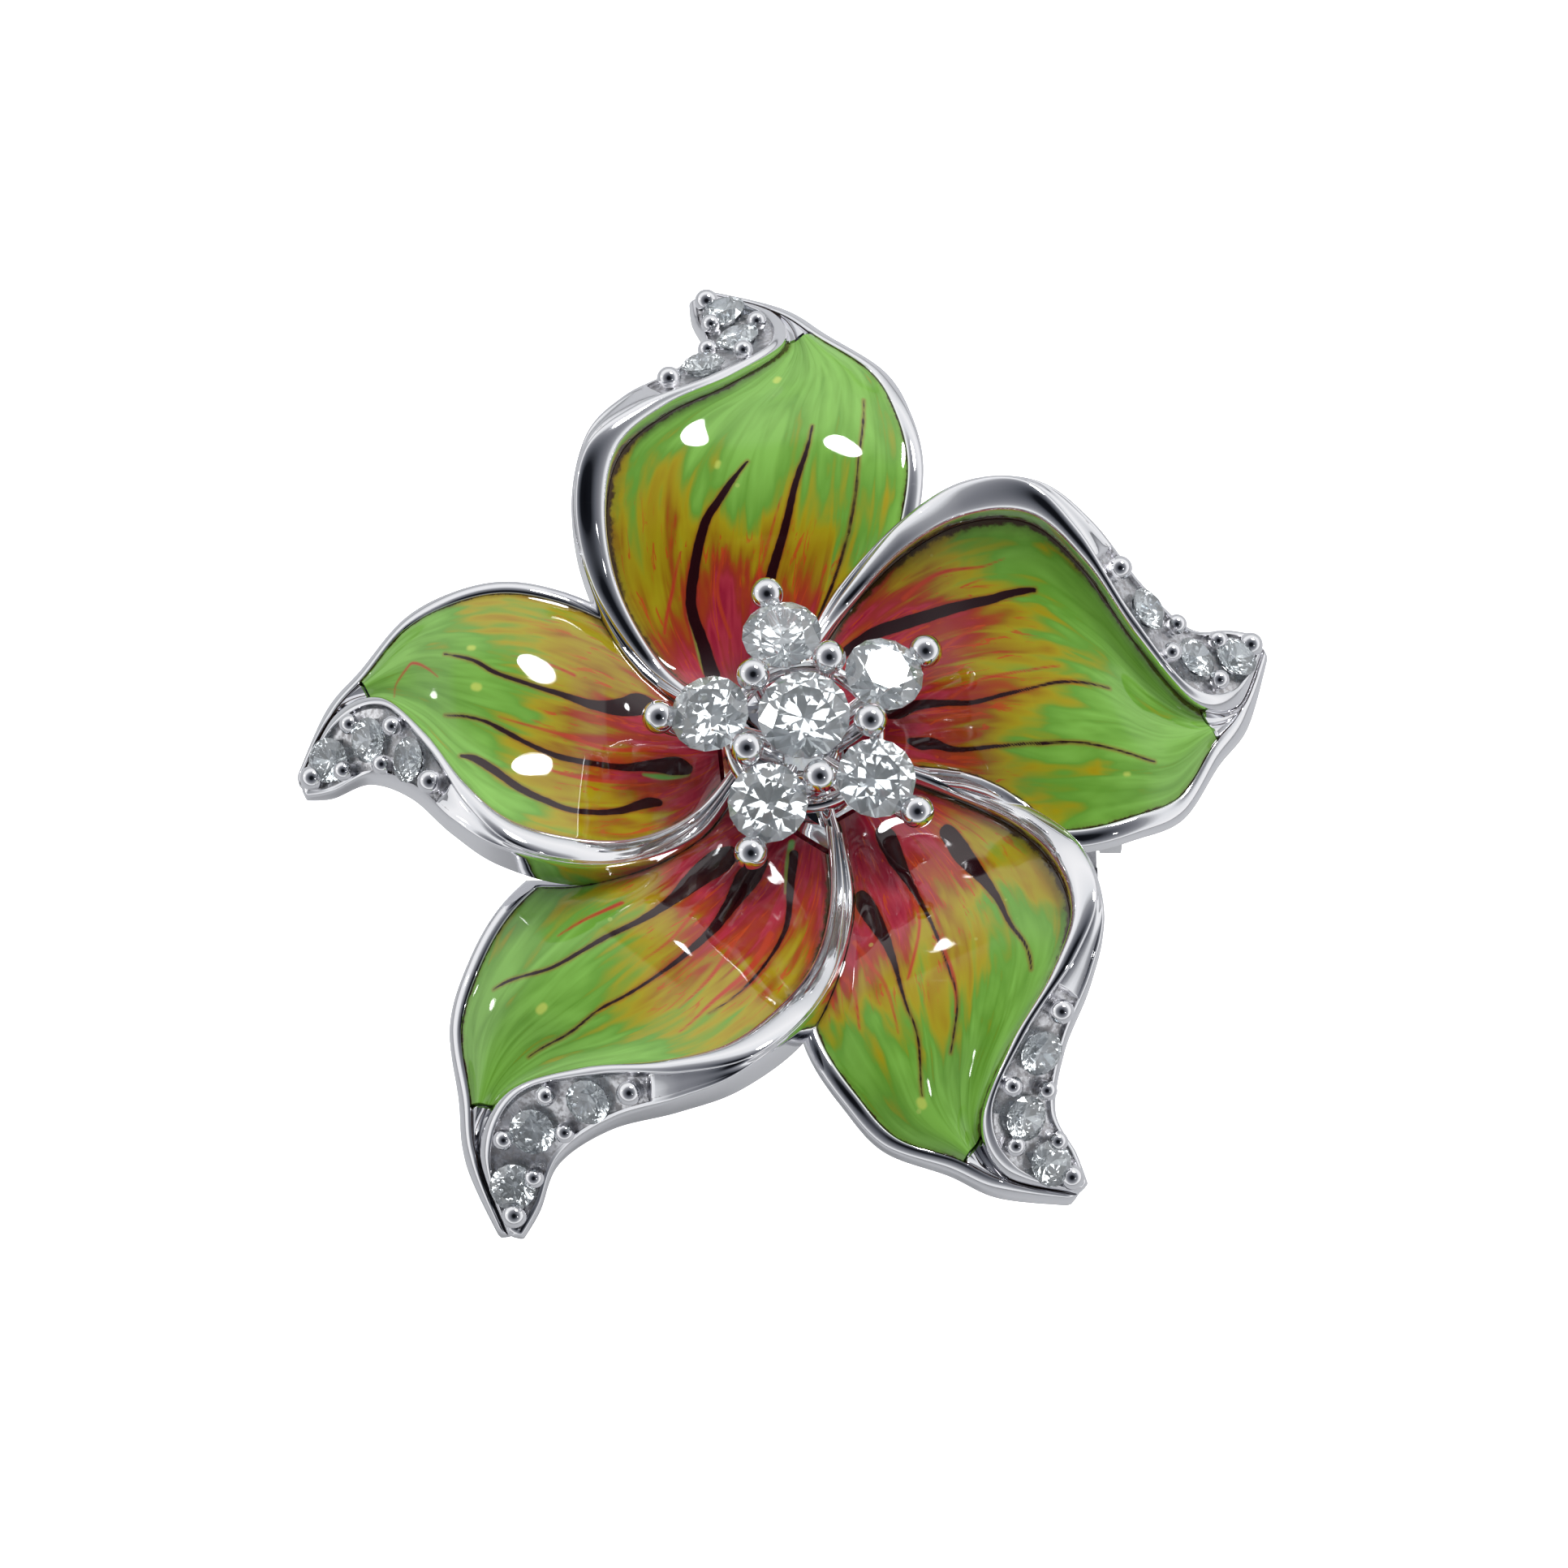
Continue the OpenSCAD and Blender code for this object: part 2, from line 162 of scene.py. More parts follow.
@dataclass(frozen=True)
class PetalForm:
    """Shape of petal k, with the same numbers as the CAD part, in millimetres."""

    k: int
    flower_z: float = 5.6
    enamel_t: float = 0.3
    floor_t: float = 0.5
    trail_rim_w: float = 0.55
    sway: float = 0.3
    wall_points: int = 30
    wall_gap: float = 0.04
    enamel_from: float = 0.05
    enamel_to: float = 0.79

    def placed(self, p: np.ndarray, k: int | None = None) -> np.ndarray:
        """Puts points of the plain petal on petal k of the flower.

        Args:
            p: Points, with x, y and z along the last axis.
            k: The petal, or this one.

        Returns:
            The points in the flower's place.
        """
        k = self.k if k is None else k
        bend = BENDS[k]
        x, y = p[..., 0] * bend.wide, p[..., 1] * bend.long
        r = np.hypot(x, y)
        a = np.arctan2(y, x) + np.radians(bend.turn + bend.curl * r * r / 256)
        z = p[..., 2] + bend.lift * r * r / 256 + bend.roll * x + self.flower_z
        qx, qy = r * np.cos(a) + bend.shift_x, r * np.sin(a) + bend.shift_y
        c, s = math.cos(math.radians(-72 * k)), math.sin(math.radians(-72 * k))
        return np.stack([qx * c - qy * s, qx * s + qy * c, z], -1)

    def bare(self, t: np.ndarray) -> np.ndarray:
        """Share of the width that the next petal leaves uncovered at each place, more than 1 where all is bare."""
        n = (self.k + 1) % 5
        at = np.linspace(0, 1, self.wall_points + 1)
        wall = np.vstack([self.placed(np.zeros((1, 3)), n), self.placed(along(OUTER, at), n)])[:, :2]
        p = self.placed(along(LEAD, t))[:, None, :2]
        q = self.placed(along(TRAIL, t))[:, None, :2]
        d, g, h = q - p, (wall[1:] - wall[:-1])[None], wall[None, :-1] - p
        det = d[..., 0] * g[..., 1] - d[..., 1] * g[..., 0]
        det = np.where(np.abs(det) < 1e-9, 1e-9, det)
        u = (h[..., 0] * g[..., 1] - h[..., 1] * g[..., 0]) / det
        w = (h[..., 0] * d[..., 1] - h[..., 1] * d[..., 0]) / det
        return np.where((u < 0) | (w < 0) | (w > 1), 2, u).min(1)

    def share(self, t: np.ndarray) -> np.ndarray:
        """Share of the full width that stands at each place, less than 1 where the next petal covers the rest."""
        size = np.linalg.norm(along(TRAIL, t) - along(LEAD, t), axis=-1)
        return np.minimum(1, self.bare(t) + (self.trail_rim_w - self.wall_gap) / size)

    def cut(self, t: np.ndarray) -> Cut:
        """Sections at the places t."""
        a, full = along(LEAD, t), along(TRAIL, t) - along(LEAD, t)
        size = np.linalg.norm(full, axis=-1)
        share = self.share(t)
        b = a + full * share[:, None]
        w = along(CREST_W, t)
        s = np.minimum(1, size * share / (w / 2 + self.trail_rim_w + 0.15))
        return Cut(t, a, b, unit(full), w * s, self.trail_rim_w * s, along(WALL_IN, t))

    def bed(self, c: Cut, v: np.ndarray | float) -> np.ndarray:
        """Top surface of the enamel.

        Args:
            c: The sections.
            v: Place across each section, 0 at the leading rim and 1 at the trailing rim.

        Returns:
            One point for each section.
        """
        v = np.broadcast_to(np.asarray(v, float), c.t.shape)
        a = c.crest + c.e * (c.w * 0.5)[:, None] - UP * c.deep[:, None]
        b = c.edge - c.e * c.r[:, None] - UP * 0.1
        wave = self.sway * np.sin(2 * np.pi * v) * np.sin(np.pi * c.t)
        return a + (b - a) * v[:, None] - UP * wave[:, None]

    def enamel_place(self, u: np.ndarray, v: np.ndarray) -> np.ndarray:
        """Places on the enamel's top, from u along the petal and v across it, each 0 to 1."""
        t = self.enamel_from + (self.enamel_to - self.enamel_from) * np.asarray(u, float)
        return self.placed(self.bed(self.cut(t), np.asarray(v, float)))

    def flange(self, t: np.ndarray, side: float) -> np.ndarray:
        """Points of the stone-set flange, side 0 at its middle, in the plain petal."""
        inner = along(LEAD, t) - unit(along(TRAIL, t) - along(LEAD, t)) * (along(CREST_W, t) * 0.4)[:, None]
        outer = along(OUTER, t)
        return outer + (inner - outer) * (0.5 + side)

    def flange_up(self, t: np.ndarray) -> np.ndarray:
        """Unit normals of the flange in the flower's place."""
        across = self.placed(self.flange(t, 0.4)) - self.placed(self.flange(t, -0.4))
        forward = self.placed(self.flange(t + 0.02, 0)) - self.placed(self.flange(t - 0.02, 0))
        return unit(np.cross(across, forward))


class Builder:
    """Makes mesh objects in metres from points in millimetres."""

    @staticmethod
    def mesh(name: str, points: np.ndarray, faces: Iterable[Sequence[int]], smooth: float | None = 40.0) -> bpy.types.Object:
        """Makes one object.

        Args:
            name: Name of the piece.
            points: Points in millimetres.
            faces: Faces, as indices into the points.
            smooth: Angle in degrees above which an edge stays sharp, or None for flat faces.

        Returns:
            The object, in the scene, at the origin.
        """
        data = bpy.data.meshes.new(name)
        data.from_pydata((np.asarray(points).reshape(-1, 3) * MM).tolist(), [], [list(f) for f in faces])
        piece = bpy.data.objects.new(name, data)
        bpy.context.scene.collection.objects.link(piece)
        Builder.point_outwards(piece)
        if smooth is not None:
            Builder.soften(piece, smooth)
        return piece

    @staticmethod
    def point_outwards(piece: bpy.types.Object) -> None:
        """Turns every face of a closed piece outwards."""
        bm = bmesh.new()
        bm.from_mesh(piece.data)
        bmesh.ops.recalc_face_normals(bm, faces=bm.faces)
        bm.to_mesh(piece.data)
        bm.free()

    @staticmethod
    def soften(piece: bpy.types.Object, angle: float) -> None:
        """Smooth shading, with edges sharper than the angle in degrees kept sharp."""
        for p in piece.data.polygons:
            p.use_smooth = True
        piece.data.set_sharp_from_angle(angle=math.radians(angle))

    @staticmethod
    def skin(rings: np.ndarray, caps: bool = True) -> tuple[np.ndarray, list[list[int]]]:
        """Joins closed rings of points into a skin.

        Args:
            rings: Points with shape (rings, points, 3).
            caps: Whether the two ends are closed.

        Returns:
            The points and the faces.
        """
        n, m = rings.shape[:2]
        i, j = np.meshgrid(np.arange(n - 1), np.arange(m), indexing="ij")
        a, b = i * m + j, i * m + (j + 1) % m
        faces = np.stack([a, b, b + m, a + m], -1).reshape(-1, 4).tolist()
        if caps:
            faces += [list(range(m))[::-1], list(range((n - 1) * m, n * m))]
        return rings.reshape(-1, 3), faces

    @staticmethod
    def attribute(piece: bpy.types.Object, name: str, values: np.ndarray) -> None:
        """Stores one number for each point of a piece."""
        layer = piece.data.attributes.new(name, "FLOAT", "POINT")
        layer.data.foreach_set("value", np.asarray(values, np.float32).ravel())

    @staticmethod
    def lathe(profile: Sequence[tuple[float, float]], origin: Sequence[float], axis: str, parts: int = 64) -> tuple[np.ndarray, list]:
        """Turns a profile about an axis.

        Args:
            profile: Pairs of (distance along the axis, radius) from one end to the other.
            origin: Where the axis starts, in millimetres.
            axis: "x", "y" or "z".
            parts: Faces round the axis.

        Returns:
            The points and the faces.
        """
        a = np.arange(parts) * 2 * np.pi / parts
        rows = np.array(profile, float)
        ring = np.stack([np.cos(a), np.sin(a)], -1)
        cross = rows[:, 1][:, None, None] * ring[None]
        far = np.broadcast_to(rows[:, 0][:, None, None], cross.shape[:2] + (1,))
        order = {"x": [2, 0, 1], "y": [1, 2, 0], "z": [0, 1, 2]}[axis]
        rings = np.concatenate([cross, far], -1)[..., order] + np.array(origin, float)
        return Builder.skin(rings)

    @staticmethod
    def merged(parts: Iterable[tuple[np.ndarray, list]]) -> tuple[np.ndarray, list]:
        """Puts several meshes into one list of points and one of faces."""
        points, faces, base = [], [], 0
        for p, f in parts:
            p = np.asarray(p).reshape(-1, 3)
            points.append(p)
            faces += [[i + base for i in face] for face in f]
            base += len(p)
        return np.vstack(points), faces

    @staticmethod
    def bevel(piece: bpy.types.Object, width: float, segments: int = 3, angle: float = 30.0) -> None:
        """Rounds a piece's sharp edges and applies the result.

        Args:
            piece: The piece.
            width: Width of the rounding, in millimetres.
            segments: Faces across the rounding.
            angle: Edges sharper than this, in degrees, are rounded.
        """
        mod = piece.modifiers.new("round", "BEVEL")
        mod.width = width * MM
        mod.segments = segments
        mod.limit_method = "ANGLE"
        mod.angle_limit = math.radians(angle)
        mod.use_clamp_overlap = True
        Builder.apply(piece)
        Builder.soften(piece, 35)

    @staticmethod
    def apply(piece: bpy.types.Object) -> None:
        """Replaces a piece's mesh with the result of its modifiers, and removes them."""
        graph = bpy.context.evaluated_depsgraph_get()
        old = piece.data
        new = bpy.data.meshes.new_from_object(piece.evaluated_get(graph), depsgraph=graph)
        piece.modifiers.clear()
        piece.data = new
        bpy.data.meshes.remove(old)

    @staticmethod
    def cut_away(piece: bpy.types.Object, cutter: bpy.types.Object) -> None:
        """Cuts one closed mesh out of another and removes the cutter."""
        mod = piece.modifiers.new("cut", "BOOLEAN")
        mod.operation = "DIFFERENCE"
        mod.solver = "EXACT"
        mod.object = cutter
        Builder.apply(piece)
        bpy.data.objects.remove(cutter)


def place(piece: bpy.types.Object, body: Body, material: bpy.types.Material, nodes: Sequence[str]) -> None:
    """Dresses a finished piece and hands it to the frame.

    Args:
        piece: The piece.
        body: The body it rides on.
        material: Its material.
        nodes: The CAD nodes it stands for.
    """
    piece.data.materials.clear()
    piece.data.materials.append(material)
    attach(piece, body.value)
    if nodes:
        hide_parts(*nodes)
    LOG.info("%s rides %s, %d faces", piece.name, body.value, len(piece.data.polygons))


def tint(red: float, green: float, blue: float, alpha: float = 1.0) -> tuple[float, float, float, float]:
    """A colour given as 0 to 255 on a screen, as linear light."""
    def linear(c: float) -> float:
        """One channel as linear light."""
        c /= 255
        return c / 12.92 if c <= 0.04045 else ((c + 0.055) / 1.055) ** 2.4
    return linear(red), linear(green), linear(blue), alpha


class Sheet:
    """A node tree being drawn: adds nodes and joins them."""

    def __init__(self, tree: bpy.types.NodeTree) -> None:
        """Starts with an empty tree."""
        self.tree = tree
        tree.nodes.clear()

    def add(self, kind: str, inputs: dict | None = None, **props: object) -> bpy.types.Node:
        """Adds a node.

        Args:
            kind: The node's type.
            inputs: For each input name or number, a value or an output to join to it.
            **props: The node's own settings.

        Returns:
            The node.
        """
        node = self.tree.nodes.new(kind)
        for key, value in props.items():
            setattr(node, key, value)
        for key, value in (inputs or {}).items():
            self.feed(node.inputs[key], value)
        return node

    def feed(self, socket: bpy.types.NodeSocket, value: object) -> None:
        """Joins an output to a socket, or sets the socket's value."""
        if isinstance(value, bpy.types.Node):
            value = next(s for s in value.outputs if s.enabled)
        if isinstance(value, bpy.types.NodeSocket):
            self.tree.links.new(value, socket)
        else:
            socket.default_value = value

    def math(self, operation: str, a: object, b: object = 0.0, clamp: bool = False) -> bpy.types.NodeSocket:
        """One arithmetic step on two numbers."""
        node = self.add("ShaderNodeMath", operation=operation, use_clamp=clamp)
        self.feed(node.inputs[0], a)
        self.feed(node.inputs[1], b)
        return node.outputs[0]

    def remap(self, value: object, lo: float, hi: float, to_lo: float = 0.0, to_hi: float = 1.0) -> bpy.types.NodeSocket:
        """A smooth change from one range to another."""
        node = self.add("ShaderNodeMapRange", interpolation_type="SMOOTHSTEP")
        for key, v in (("Value", value), ("From Min", lo), ("From Max", hi), ("To Min", to_lo), ("To Max", to_hi)):
            self.feed(node.inputs[key], v)
        return node.outputs[0]

    def mix(self, factor: object, a: object, b: object, blend: str = "MIX") -> bpy.types.NodeSocket:
        """A mix of two colours."""
        node = self.add("ShaderNodeMix", data_type="RGBA", blend_type=blend)
        self.feed(node.inputs[0], factor)
        self.feed(node.inputs[6], a)
        self.feed(node.inputs[7], b)
        return node.outputs[2]

    def noise(self, vector: object, scale: float, detail: float = 3.0, rough: float = 0.5, warp: float = 0.0) -> bpy.types.NodeSocket:
        """A cloud pattern, 0 to 1."""
        node = self.add("ShaderNodeTexNoise", {"Scale": scale, "Detail": detail, "Roughness": rough, "Distortion": warp})
        self.feed(node.inputs["Vector"], vector)
        return node.outputs[0]

    def ramp(self, factor: object, stops: Sequence[tuple[float, tuple]]) -> bpy.types.NodeSocket:
        """Colours along a scale from 0 to 1."""
        node = self.add("ShaderNodeValToRGB")
        band = node.color_ramp.elements
        band.remove(band[1])
        band[0].position, band[0].color = stops[0]
        for at, colour in stops[1:]:
            band.new(at).color = colour
        self.feed(node.inputs[0], factor)
        return node.outputs[0]

    def group(self, tree: bpy.types.NodeTree, inputs: dict) -> bpy.types.Node:
        """Places a node group."""
        return self.add("ShaderNodeGroup", inputs, node_tree=tree)


class GroupMaker:
    """Makes a shader node group with named inputs and outputs."""

    def __init__(self, name: str, inputs: dict[str, float], outputs: dict[str, str]) -> None:
        """Starts the group.

        Args:
            name: The group's name.
            inputs: Number inputs and their default values.
            outputs: Outputs and whether each is "Float", "Color" or "Vector".
        """
        self.tree = bpy.data.node_groups.new(name, "ShaderNodeTree")
        for key, value in inputs.items():
            socket = self.tree.interface.new_socket(key, in_out="INPUT", socket_type="NodeSocketFloat")
            socket.default_value = value
        for key, kind in outputs.items():
            self.tree.interface.new_socket(key, in_out="OUTPUT", socket_type="NodeSocket" + kind)
        self.sheet = Sheet(self.tree)
        self.inputs = self.sheet.add("NodeGroupInput").outputs
        self.out = self.sheet.add("NodeGroupOutput")

    def put(self, **values: object) -> None:
        """Joins values to the group's outputs."""
        for key, value in values.items():
            self.sheet.feed(self.out.inputs[key], value)


class Effects:
    """Shader node groups that several finishes use."""

    def __init__(self) -> None:
        """Builds every group once."""
        self.wear = self._wear()
        self.handling = self._handling()
        self.casting = self._casting()

    @staticmethod
    def _wear() -> bpy.types.NodeTree:
        """Bright worn edges and dull hollows, from how the surface is curved."""
        g = GroupMaker("edge_and_hollow", {"Edge": 0.53, "Hollow": 0.47, "Break up": 0.3}, {"Edges": "Float", "Hollows": "Float"})
        s = g.sheet
        pointy = s.add("ShaderNodeNewGeometry").outputs["Pointiness"]
        place_ = s.add("ShaderNodeTexCoord").outputs["Object"]
        cloud = s.math("MULTIPLY", s.math("SUBTRACT", s.noise(place_, 900.0, 4.0), 0.5), g.inputs["Break up"])
        edge = s.math("MULTIPLY", s.math("SUBTRACT", s.math("ADD", pointy, s.math("MULTIPLY", cloud, 0.1)), g.inputs["Edge"]), 12.0, True)
        hollow = s.math("MULTIPLY", s.math("SUBTRACT", g.inputs["Hollow"], s.math("SUBTRACT", pointy, s.math("MULTIPLY", cloud, 0.1))), 12.0, True)
        g.put(Edges=edge, Hollows=hollow)
        return g.tree

    @staticmethod
    def _handling() -> bpy.types.NodeTree:
        """Hairline scratches and finger marks as a roughness and a height."""
        g = GroupMaker("handling_marks", {"Scratches": 0.5, "Marks": 0.5}, {"Roughness": "Float", "Height": "Float"})
        s = g.sheet
        place_ = s.add("ShaderNodeTexCoord").outputs["Object"]
        total = None
        for turn, size in ((0.4, 1.0), (1.9, 0.8), (2.7, 1.3)):
            lay = s.add("ShaderNodeMapping", {"Vector": place_, "Rotation": (0.3, 0.2, turn), "Scale": (220 * size, 5200 * size, 900)})
            line = s.remap(s.noise(lay, 1.0, 2.0), 0.66, 0.74)
            total = line if total is None else s.math("MAXIMUM", total, line)
        marks = s.remap(s.noise(place_, 260.0, 5.0, 0.6, 0.4), 0.45, 0.7)
        scratch = s.math("MULTIPLY", total, g.inputs["Scratches"])
        g.put(Roughness=s.math("ADD", s.math("MULTIPLY", scratch, 0.12), s.math("MULTIPLY", s.math("MULTIPLY", marks, g.inputs["Marks"]), 0.08)), Height=s.math("MULTIPLY", scratch, -1.0))
        return g.tree

    @staticmethod
    def _casting() -> bpy.types.NodeTree:
        """The waves that polishing leaves, and the grain of unpolished cast metal."""
        g = GroupMaker("cast_surface", {"Waves": 1.0, "Grain": 0.0}, {"Height": "Float", "Dark": "Float"})
        s = g.sheet
        place_ = s.add("ShaderNodeTexCoord").outputs["Object"]
        waves = s.math("MULTIPLY", s.noise(place_, 420.0, 2.0, 0.4), g.inputs["Waves"])
        grain = s.noise(place_, 5200.0, 4.0, 0.65)
        g.put(Height=s.math("ADD", waves, s.math("MULTIPLY", grain, g.inputs["Grain"])), Dark=s.math("MULTIPLY", s.remap(grain, 0.35, 0.6, 1.0, 0.0), g.inputs["Grain"]))
        return g.tree


class Finish:
    """A material that is made once and shared."""

    name: str = "finish"

    def make(self, effects: Effects) -> bpy.types.Material:
        """Builds the material."""
        material = bpy.data.materials.new(self.name)
        material.use_nodes = True
        sheet = Sheet(material.node_tree)
        shader = sheet.add("ShaderNodeBsdfPrincipled")
        out = sheet.add("ShaderNodeOutputMaterial")
        sheet.tree.links.new(shader.outputs[0], out.inputs["Surface"])
        self.draw(sheet, shader, effects)
        return material

    def draw(self, sheet: Sheet, shader: bpy.types.Node, effects: Effects) -> None:
        """Draws the material's nodes."""
        raise NotImplementedError


@dataclass(frozen=True)
class Silver(Finish):
    """Polished silver, with grime in its hollows.

    Attributes:
        name: The material's name.
        colour: Its clean colour.
        shine: Its roughness where it is clean.
        grime: How dark its hollows are.
        waves: Height of the polishing waves, in millimetres.
        worked: Whether the piece stores where it is grimy and where it is grainy.
    """

    name: str = "polished_silver"
    colour: tuple = tint(240, 240, 243)
    shine: float = 0.05
    grime: float = 0.7
    waves: float = 0.012
    worked: bool = False

    def draw(self, sheet: Sheet, shader: bpy.types.Node, effects: Effects) -> None:
        """Draws the material's nodes."""
        wear = sheet.group(effects.wear, {"Edge": 0.55, "Hollow": 0.44})
        marks = sheet.group(effects.handling, {"Scratches": 0.35, "Marks": 0.6})
        dirt = sheet.math("MULTIPLY", wear.outputs["Hollows"], self.grime, True)
        cast = sheet.group(effects.casting, {"Waves": 1.0})
        rough = sheet.math("ADD", marks.outputs["Roughness"], self.shine)
        if self.worked:
            place_ = sheet.add("ShaderNodeTexCoord").outputs["Object"]
            nook = sheet.add("ShaderNodeAttribute", attribute_name="nook").outputs["Fac"]
            seat = sheet.add("ShaderNodeAttribute", attribute_name="seat").outputs["Fac"]
            ragged = sheet.math("ADD", nook, sheet.math("MULTIPLY", sheet.math("SUBTRACT", sheet.noise(place_, 3200.0, 5.0, 0.7), 0.5), 0.9))
            line = sheet.remap(ragged, 0.5, 0.75)
            dirt = sheet.math("MAXIMUM", dirt, line)
            sheet.feed(cast.inputs["Grain"], seat)
            dirt = sheet.math("MAXIMUM", dirt, sheet.math("MULTIPLY", cast.outputs["Dark"], 0.45))
            rough = sheet.math("ADD", rough, sheet.math("MULTIPLY", seat, 0.22))
        sheet.feed(shader.inputs["Base Color"], sheet.mix(dirt, self.colour, tint(66, 40, 28)))
        sheet.feed(shader.inputs["Roughness"], sheet.math("ADD", rough, sheet.math("MULTIPLY", dirt, 0.5)))
        sheet.feed(shader.inputs["Metallic"], sheet.remap(dirt, 0.2, 1.0, 1.0, 0.25))
        bump = sheet.add("ShaderNodeBump", {"Strength": 1.0, "Distance": self.waves * MM, "Height": cast.outputs["Height"]})
        fine = sheet.add("ShaderNodeBump", {"Strength": 0.15, "Distance": 0.004 * MM, "Height": marks.outputs["Height"], "Normal": bump})
        sheet.feed(shader.inputs["Normal"], fine)


@dataclass(frozen=True)
class Enamel(Finish):
    """Glossy enamel that runs from crimson at the root through orange and olive yellow to green.

    Attributes:
        name: The material's name.
        seed: Where the petal's own pattern starts.
    """

    name: str = "enamel"
    seed: float = 0.0

    def draw(self, sheet: Sheet, shader: bpy.types.Node, effects: Effects) -> None:
        """Draws the material's nodes."""
        uv = sheet.add("ShaderNodeUVMap", uv_map="petal")
        place_ = sheet.add("ShaderNodeTexCoord").outputs["Object"]
        heat = sheet.add("ShaderNodeAttribute", attribute_name="warmth").outputs["Fac"]
        vein = sheet.add("ShaderNodeAttribute", attribute_name="vein").outputs["Fac"]
        lick = sheet.add("ShaderNodeAttribute", attribute_name="lick").outputs["Fac"]
        moss = sheet.add("ShaderNodeAttribute", attribute_name="moss").outputs["Fac"]
        flow = sheet.add("ShaderNodeMapping", {"Vector": uv, "Location": (self.seed, 1.7 * self.seed, 0), "Scale": (3.2, 15.0, 1)})
        bend = sheet.add("ShaderNodeMapping", {"Vector": uv, "Location": (2.3 * self.seed, self.seed, 0), "Scale": (5.0, 8.0, 1)})
        streak = sheet.math("SUBTRACT", sheet.noise(flow, 1.0, 2.0, 0.45, 1.0), 0.5)
        blot = sheet.math("SUBTRACT", sheet.noise(bend, 1.0, 2.0, 0.5, 0.8), 0.5)
        wild = sheet.math("ADD", sheet.math("MULTIPLY", streak, 0.75), sheet.math("MULTIPLY", blot, 0.55))
        level = sheet.math("ADD", heat, wild, True)
        base = sheet.ramp(level, (
            (0.0, tint(120, 172, 72)), (0.16, tint(108, 158, 60)), (0.26, tint(96, 146, 50)), (0.31, tint(116, 142, 42)),
            (0.37, tint(138, 142, 34)), (0.43, tint(154, 140, 22)), (0.55, tint(148, 122, 18)), (0.64, tint(138, 96, 18)),
            (0.675, tint(148, 72, 24)), (0.74, tint(146, 52, 28)), (0.81, tint(144, 42, 42)), (0.88, tint(160, 46, 62)), (1.0, tint(140, 28, 50)),
        ))
        fine = sheet.noise(flow, 2.6, 3.0, 0.6, 1.4)
        ember = sheet.math("MULTIPLY", sheet.remap(fine, 0.585, 0.635), sheet.remap(heat, 0.36, 0.56))
        base = sheet.mix(sheet.math("MULTIPLY", ember, 0.8), base, tint(176, 64, 28))
        base = sheet.mix(sheet.remap(lick, 0.05, -0.05), base, tint(166, 56, 34))
        base = sheet.mix(sheet.remap(moss, 0.06, -0.06), base, tint(104, 162, 76))
        ragged = sheet.math("ADD", vein, sheet.math("MULTIPLY", sheet.math("SUBTRACT", sheet.noise(place_, 2600.0, 2.0), 0.5), 0.06))
        halo = sheet.math("MULTIPLY", sheet.remap(ragged, 0.12, 0.0), 0.5)
        base = sheet.mix(halo, base, tint(130, 44, 22))
        dark = sheet.remap(ragged, 0.025, -0.02)
        base = sheet.mix(dark, base, tint(34, 10, 14))
        dots = sheet.add("ShaderNodeTexVoronoi", {"Vector": place_, "Scale": 520.0, "Randomness": 1.0}, feature="F1")
        pale = sheet.math("MULTIPLY", sheet.remap(dots.outputs["Distance"], 0.055, 0.03), 0.35)
        base = sheet.mix(pale, base, tint(190, 200, 110))
        spot = sheet.add("ShaderNodeAttribute", attribute_name="speck").outputs["Fac"]
        base = sheet.mix(sheet.math("MULTIPLY", sheet.remap(spot, 0.05, -0.08), 0.6), base, tint(200, 206, 96))
        # Painted shade along the enamel's edges. The narrow dark brown line where the enamel meets the silver is partly
        # a dark joint and partly painted shade. The wider olive darkening is painted shade cast by the rim walls,
        # widest beside the tall leading rim.
        border = sheet.add("ShaderNodeAttribute", attribute_name="border").outputs["Fac"]
        joint_and_wall_shade = sheet.math("ADD", border, sheet.math("MULTIPLY", sheet.math("SUBTRACT", sheet.noise(place_, 2200.0, 5.0, 0.7), 0.5), 0.5))
        base = sheet.mix(sheet.remap(joint_and_wall_shade, 0.2, 0.06), base, tint(52, 28, 16))
        base = sheet.mix(sheet.math("MULTIPLY", sheet.remap(joint_and_wall_shade, 0.55, 0.05), 0.35), base, tint(70, 60, 20))
        sheet.feed(shader.inputs["Base Color"], base)
        marks = sheet.group(effects.handling, {"Scratches": 0.5, "Marks": 0.4})
        sheet.feed(shader.inputs["Roughness"], sheet.math("ADD", sheet.math("MULTIPLY", marks.outputs["Roughness"], 0.5), 0.04))
        shader.inputs["IOR"].default_value = 1.52
        shader.inputs["Coat Weight"].default_value = 0.4
        shader.inputs["Coat Roughness"].default_value = 0.03
        cast = sheet.group(effects.casting, {"Waves": 1.0})
        bump = sheet.add("ShaderNodeBump", {"Strength": 1.0, "Distance": 0.034 * MM, "Height": cast.outputs["Height"]})
        fine_bump = sheet.add("ShaderNodeBump", {"Strength": 0.1, "Distance": 0.003 * MM, "Height": marks.outputs["Height"], "Normal": bump})
        sheet.feed(shader.inputs["Normal"], fine_bump)


@dataclass(frozen=True)
class CutStone(Finish):
    """Clear cut stone, with a trace of film on its facets."""

    name: str = "clear_stone"

    def draw(self, sheet: Sheet, shader: bpy.types.Node, effects: Effects) -> None:
        """Draws the material's nodes."""
        place_ = sheet.add("ShaderNodeTexCoord").outputs["Object"]
        film = sheet.remap(sheet.noise(place_, 700.0, 4.0, 0.6), 0.45, 0.75)
        sheet.feed(shader.inputs["Base Color"], sheet.mix(film, tint(242, 248, 250), tint(224, 234, 240)))
        sheet.feed(shader.inputs["Roughness"], sheet.math("ADD", sheet.math("MULTIPLY", film, 0.06), 0.03))
        shader.inputs["IOR"].default_value = 2.15
        shader.inputs["Transmission Weight"].default_value = 0.88


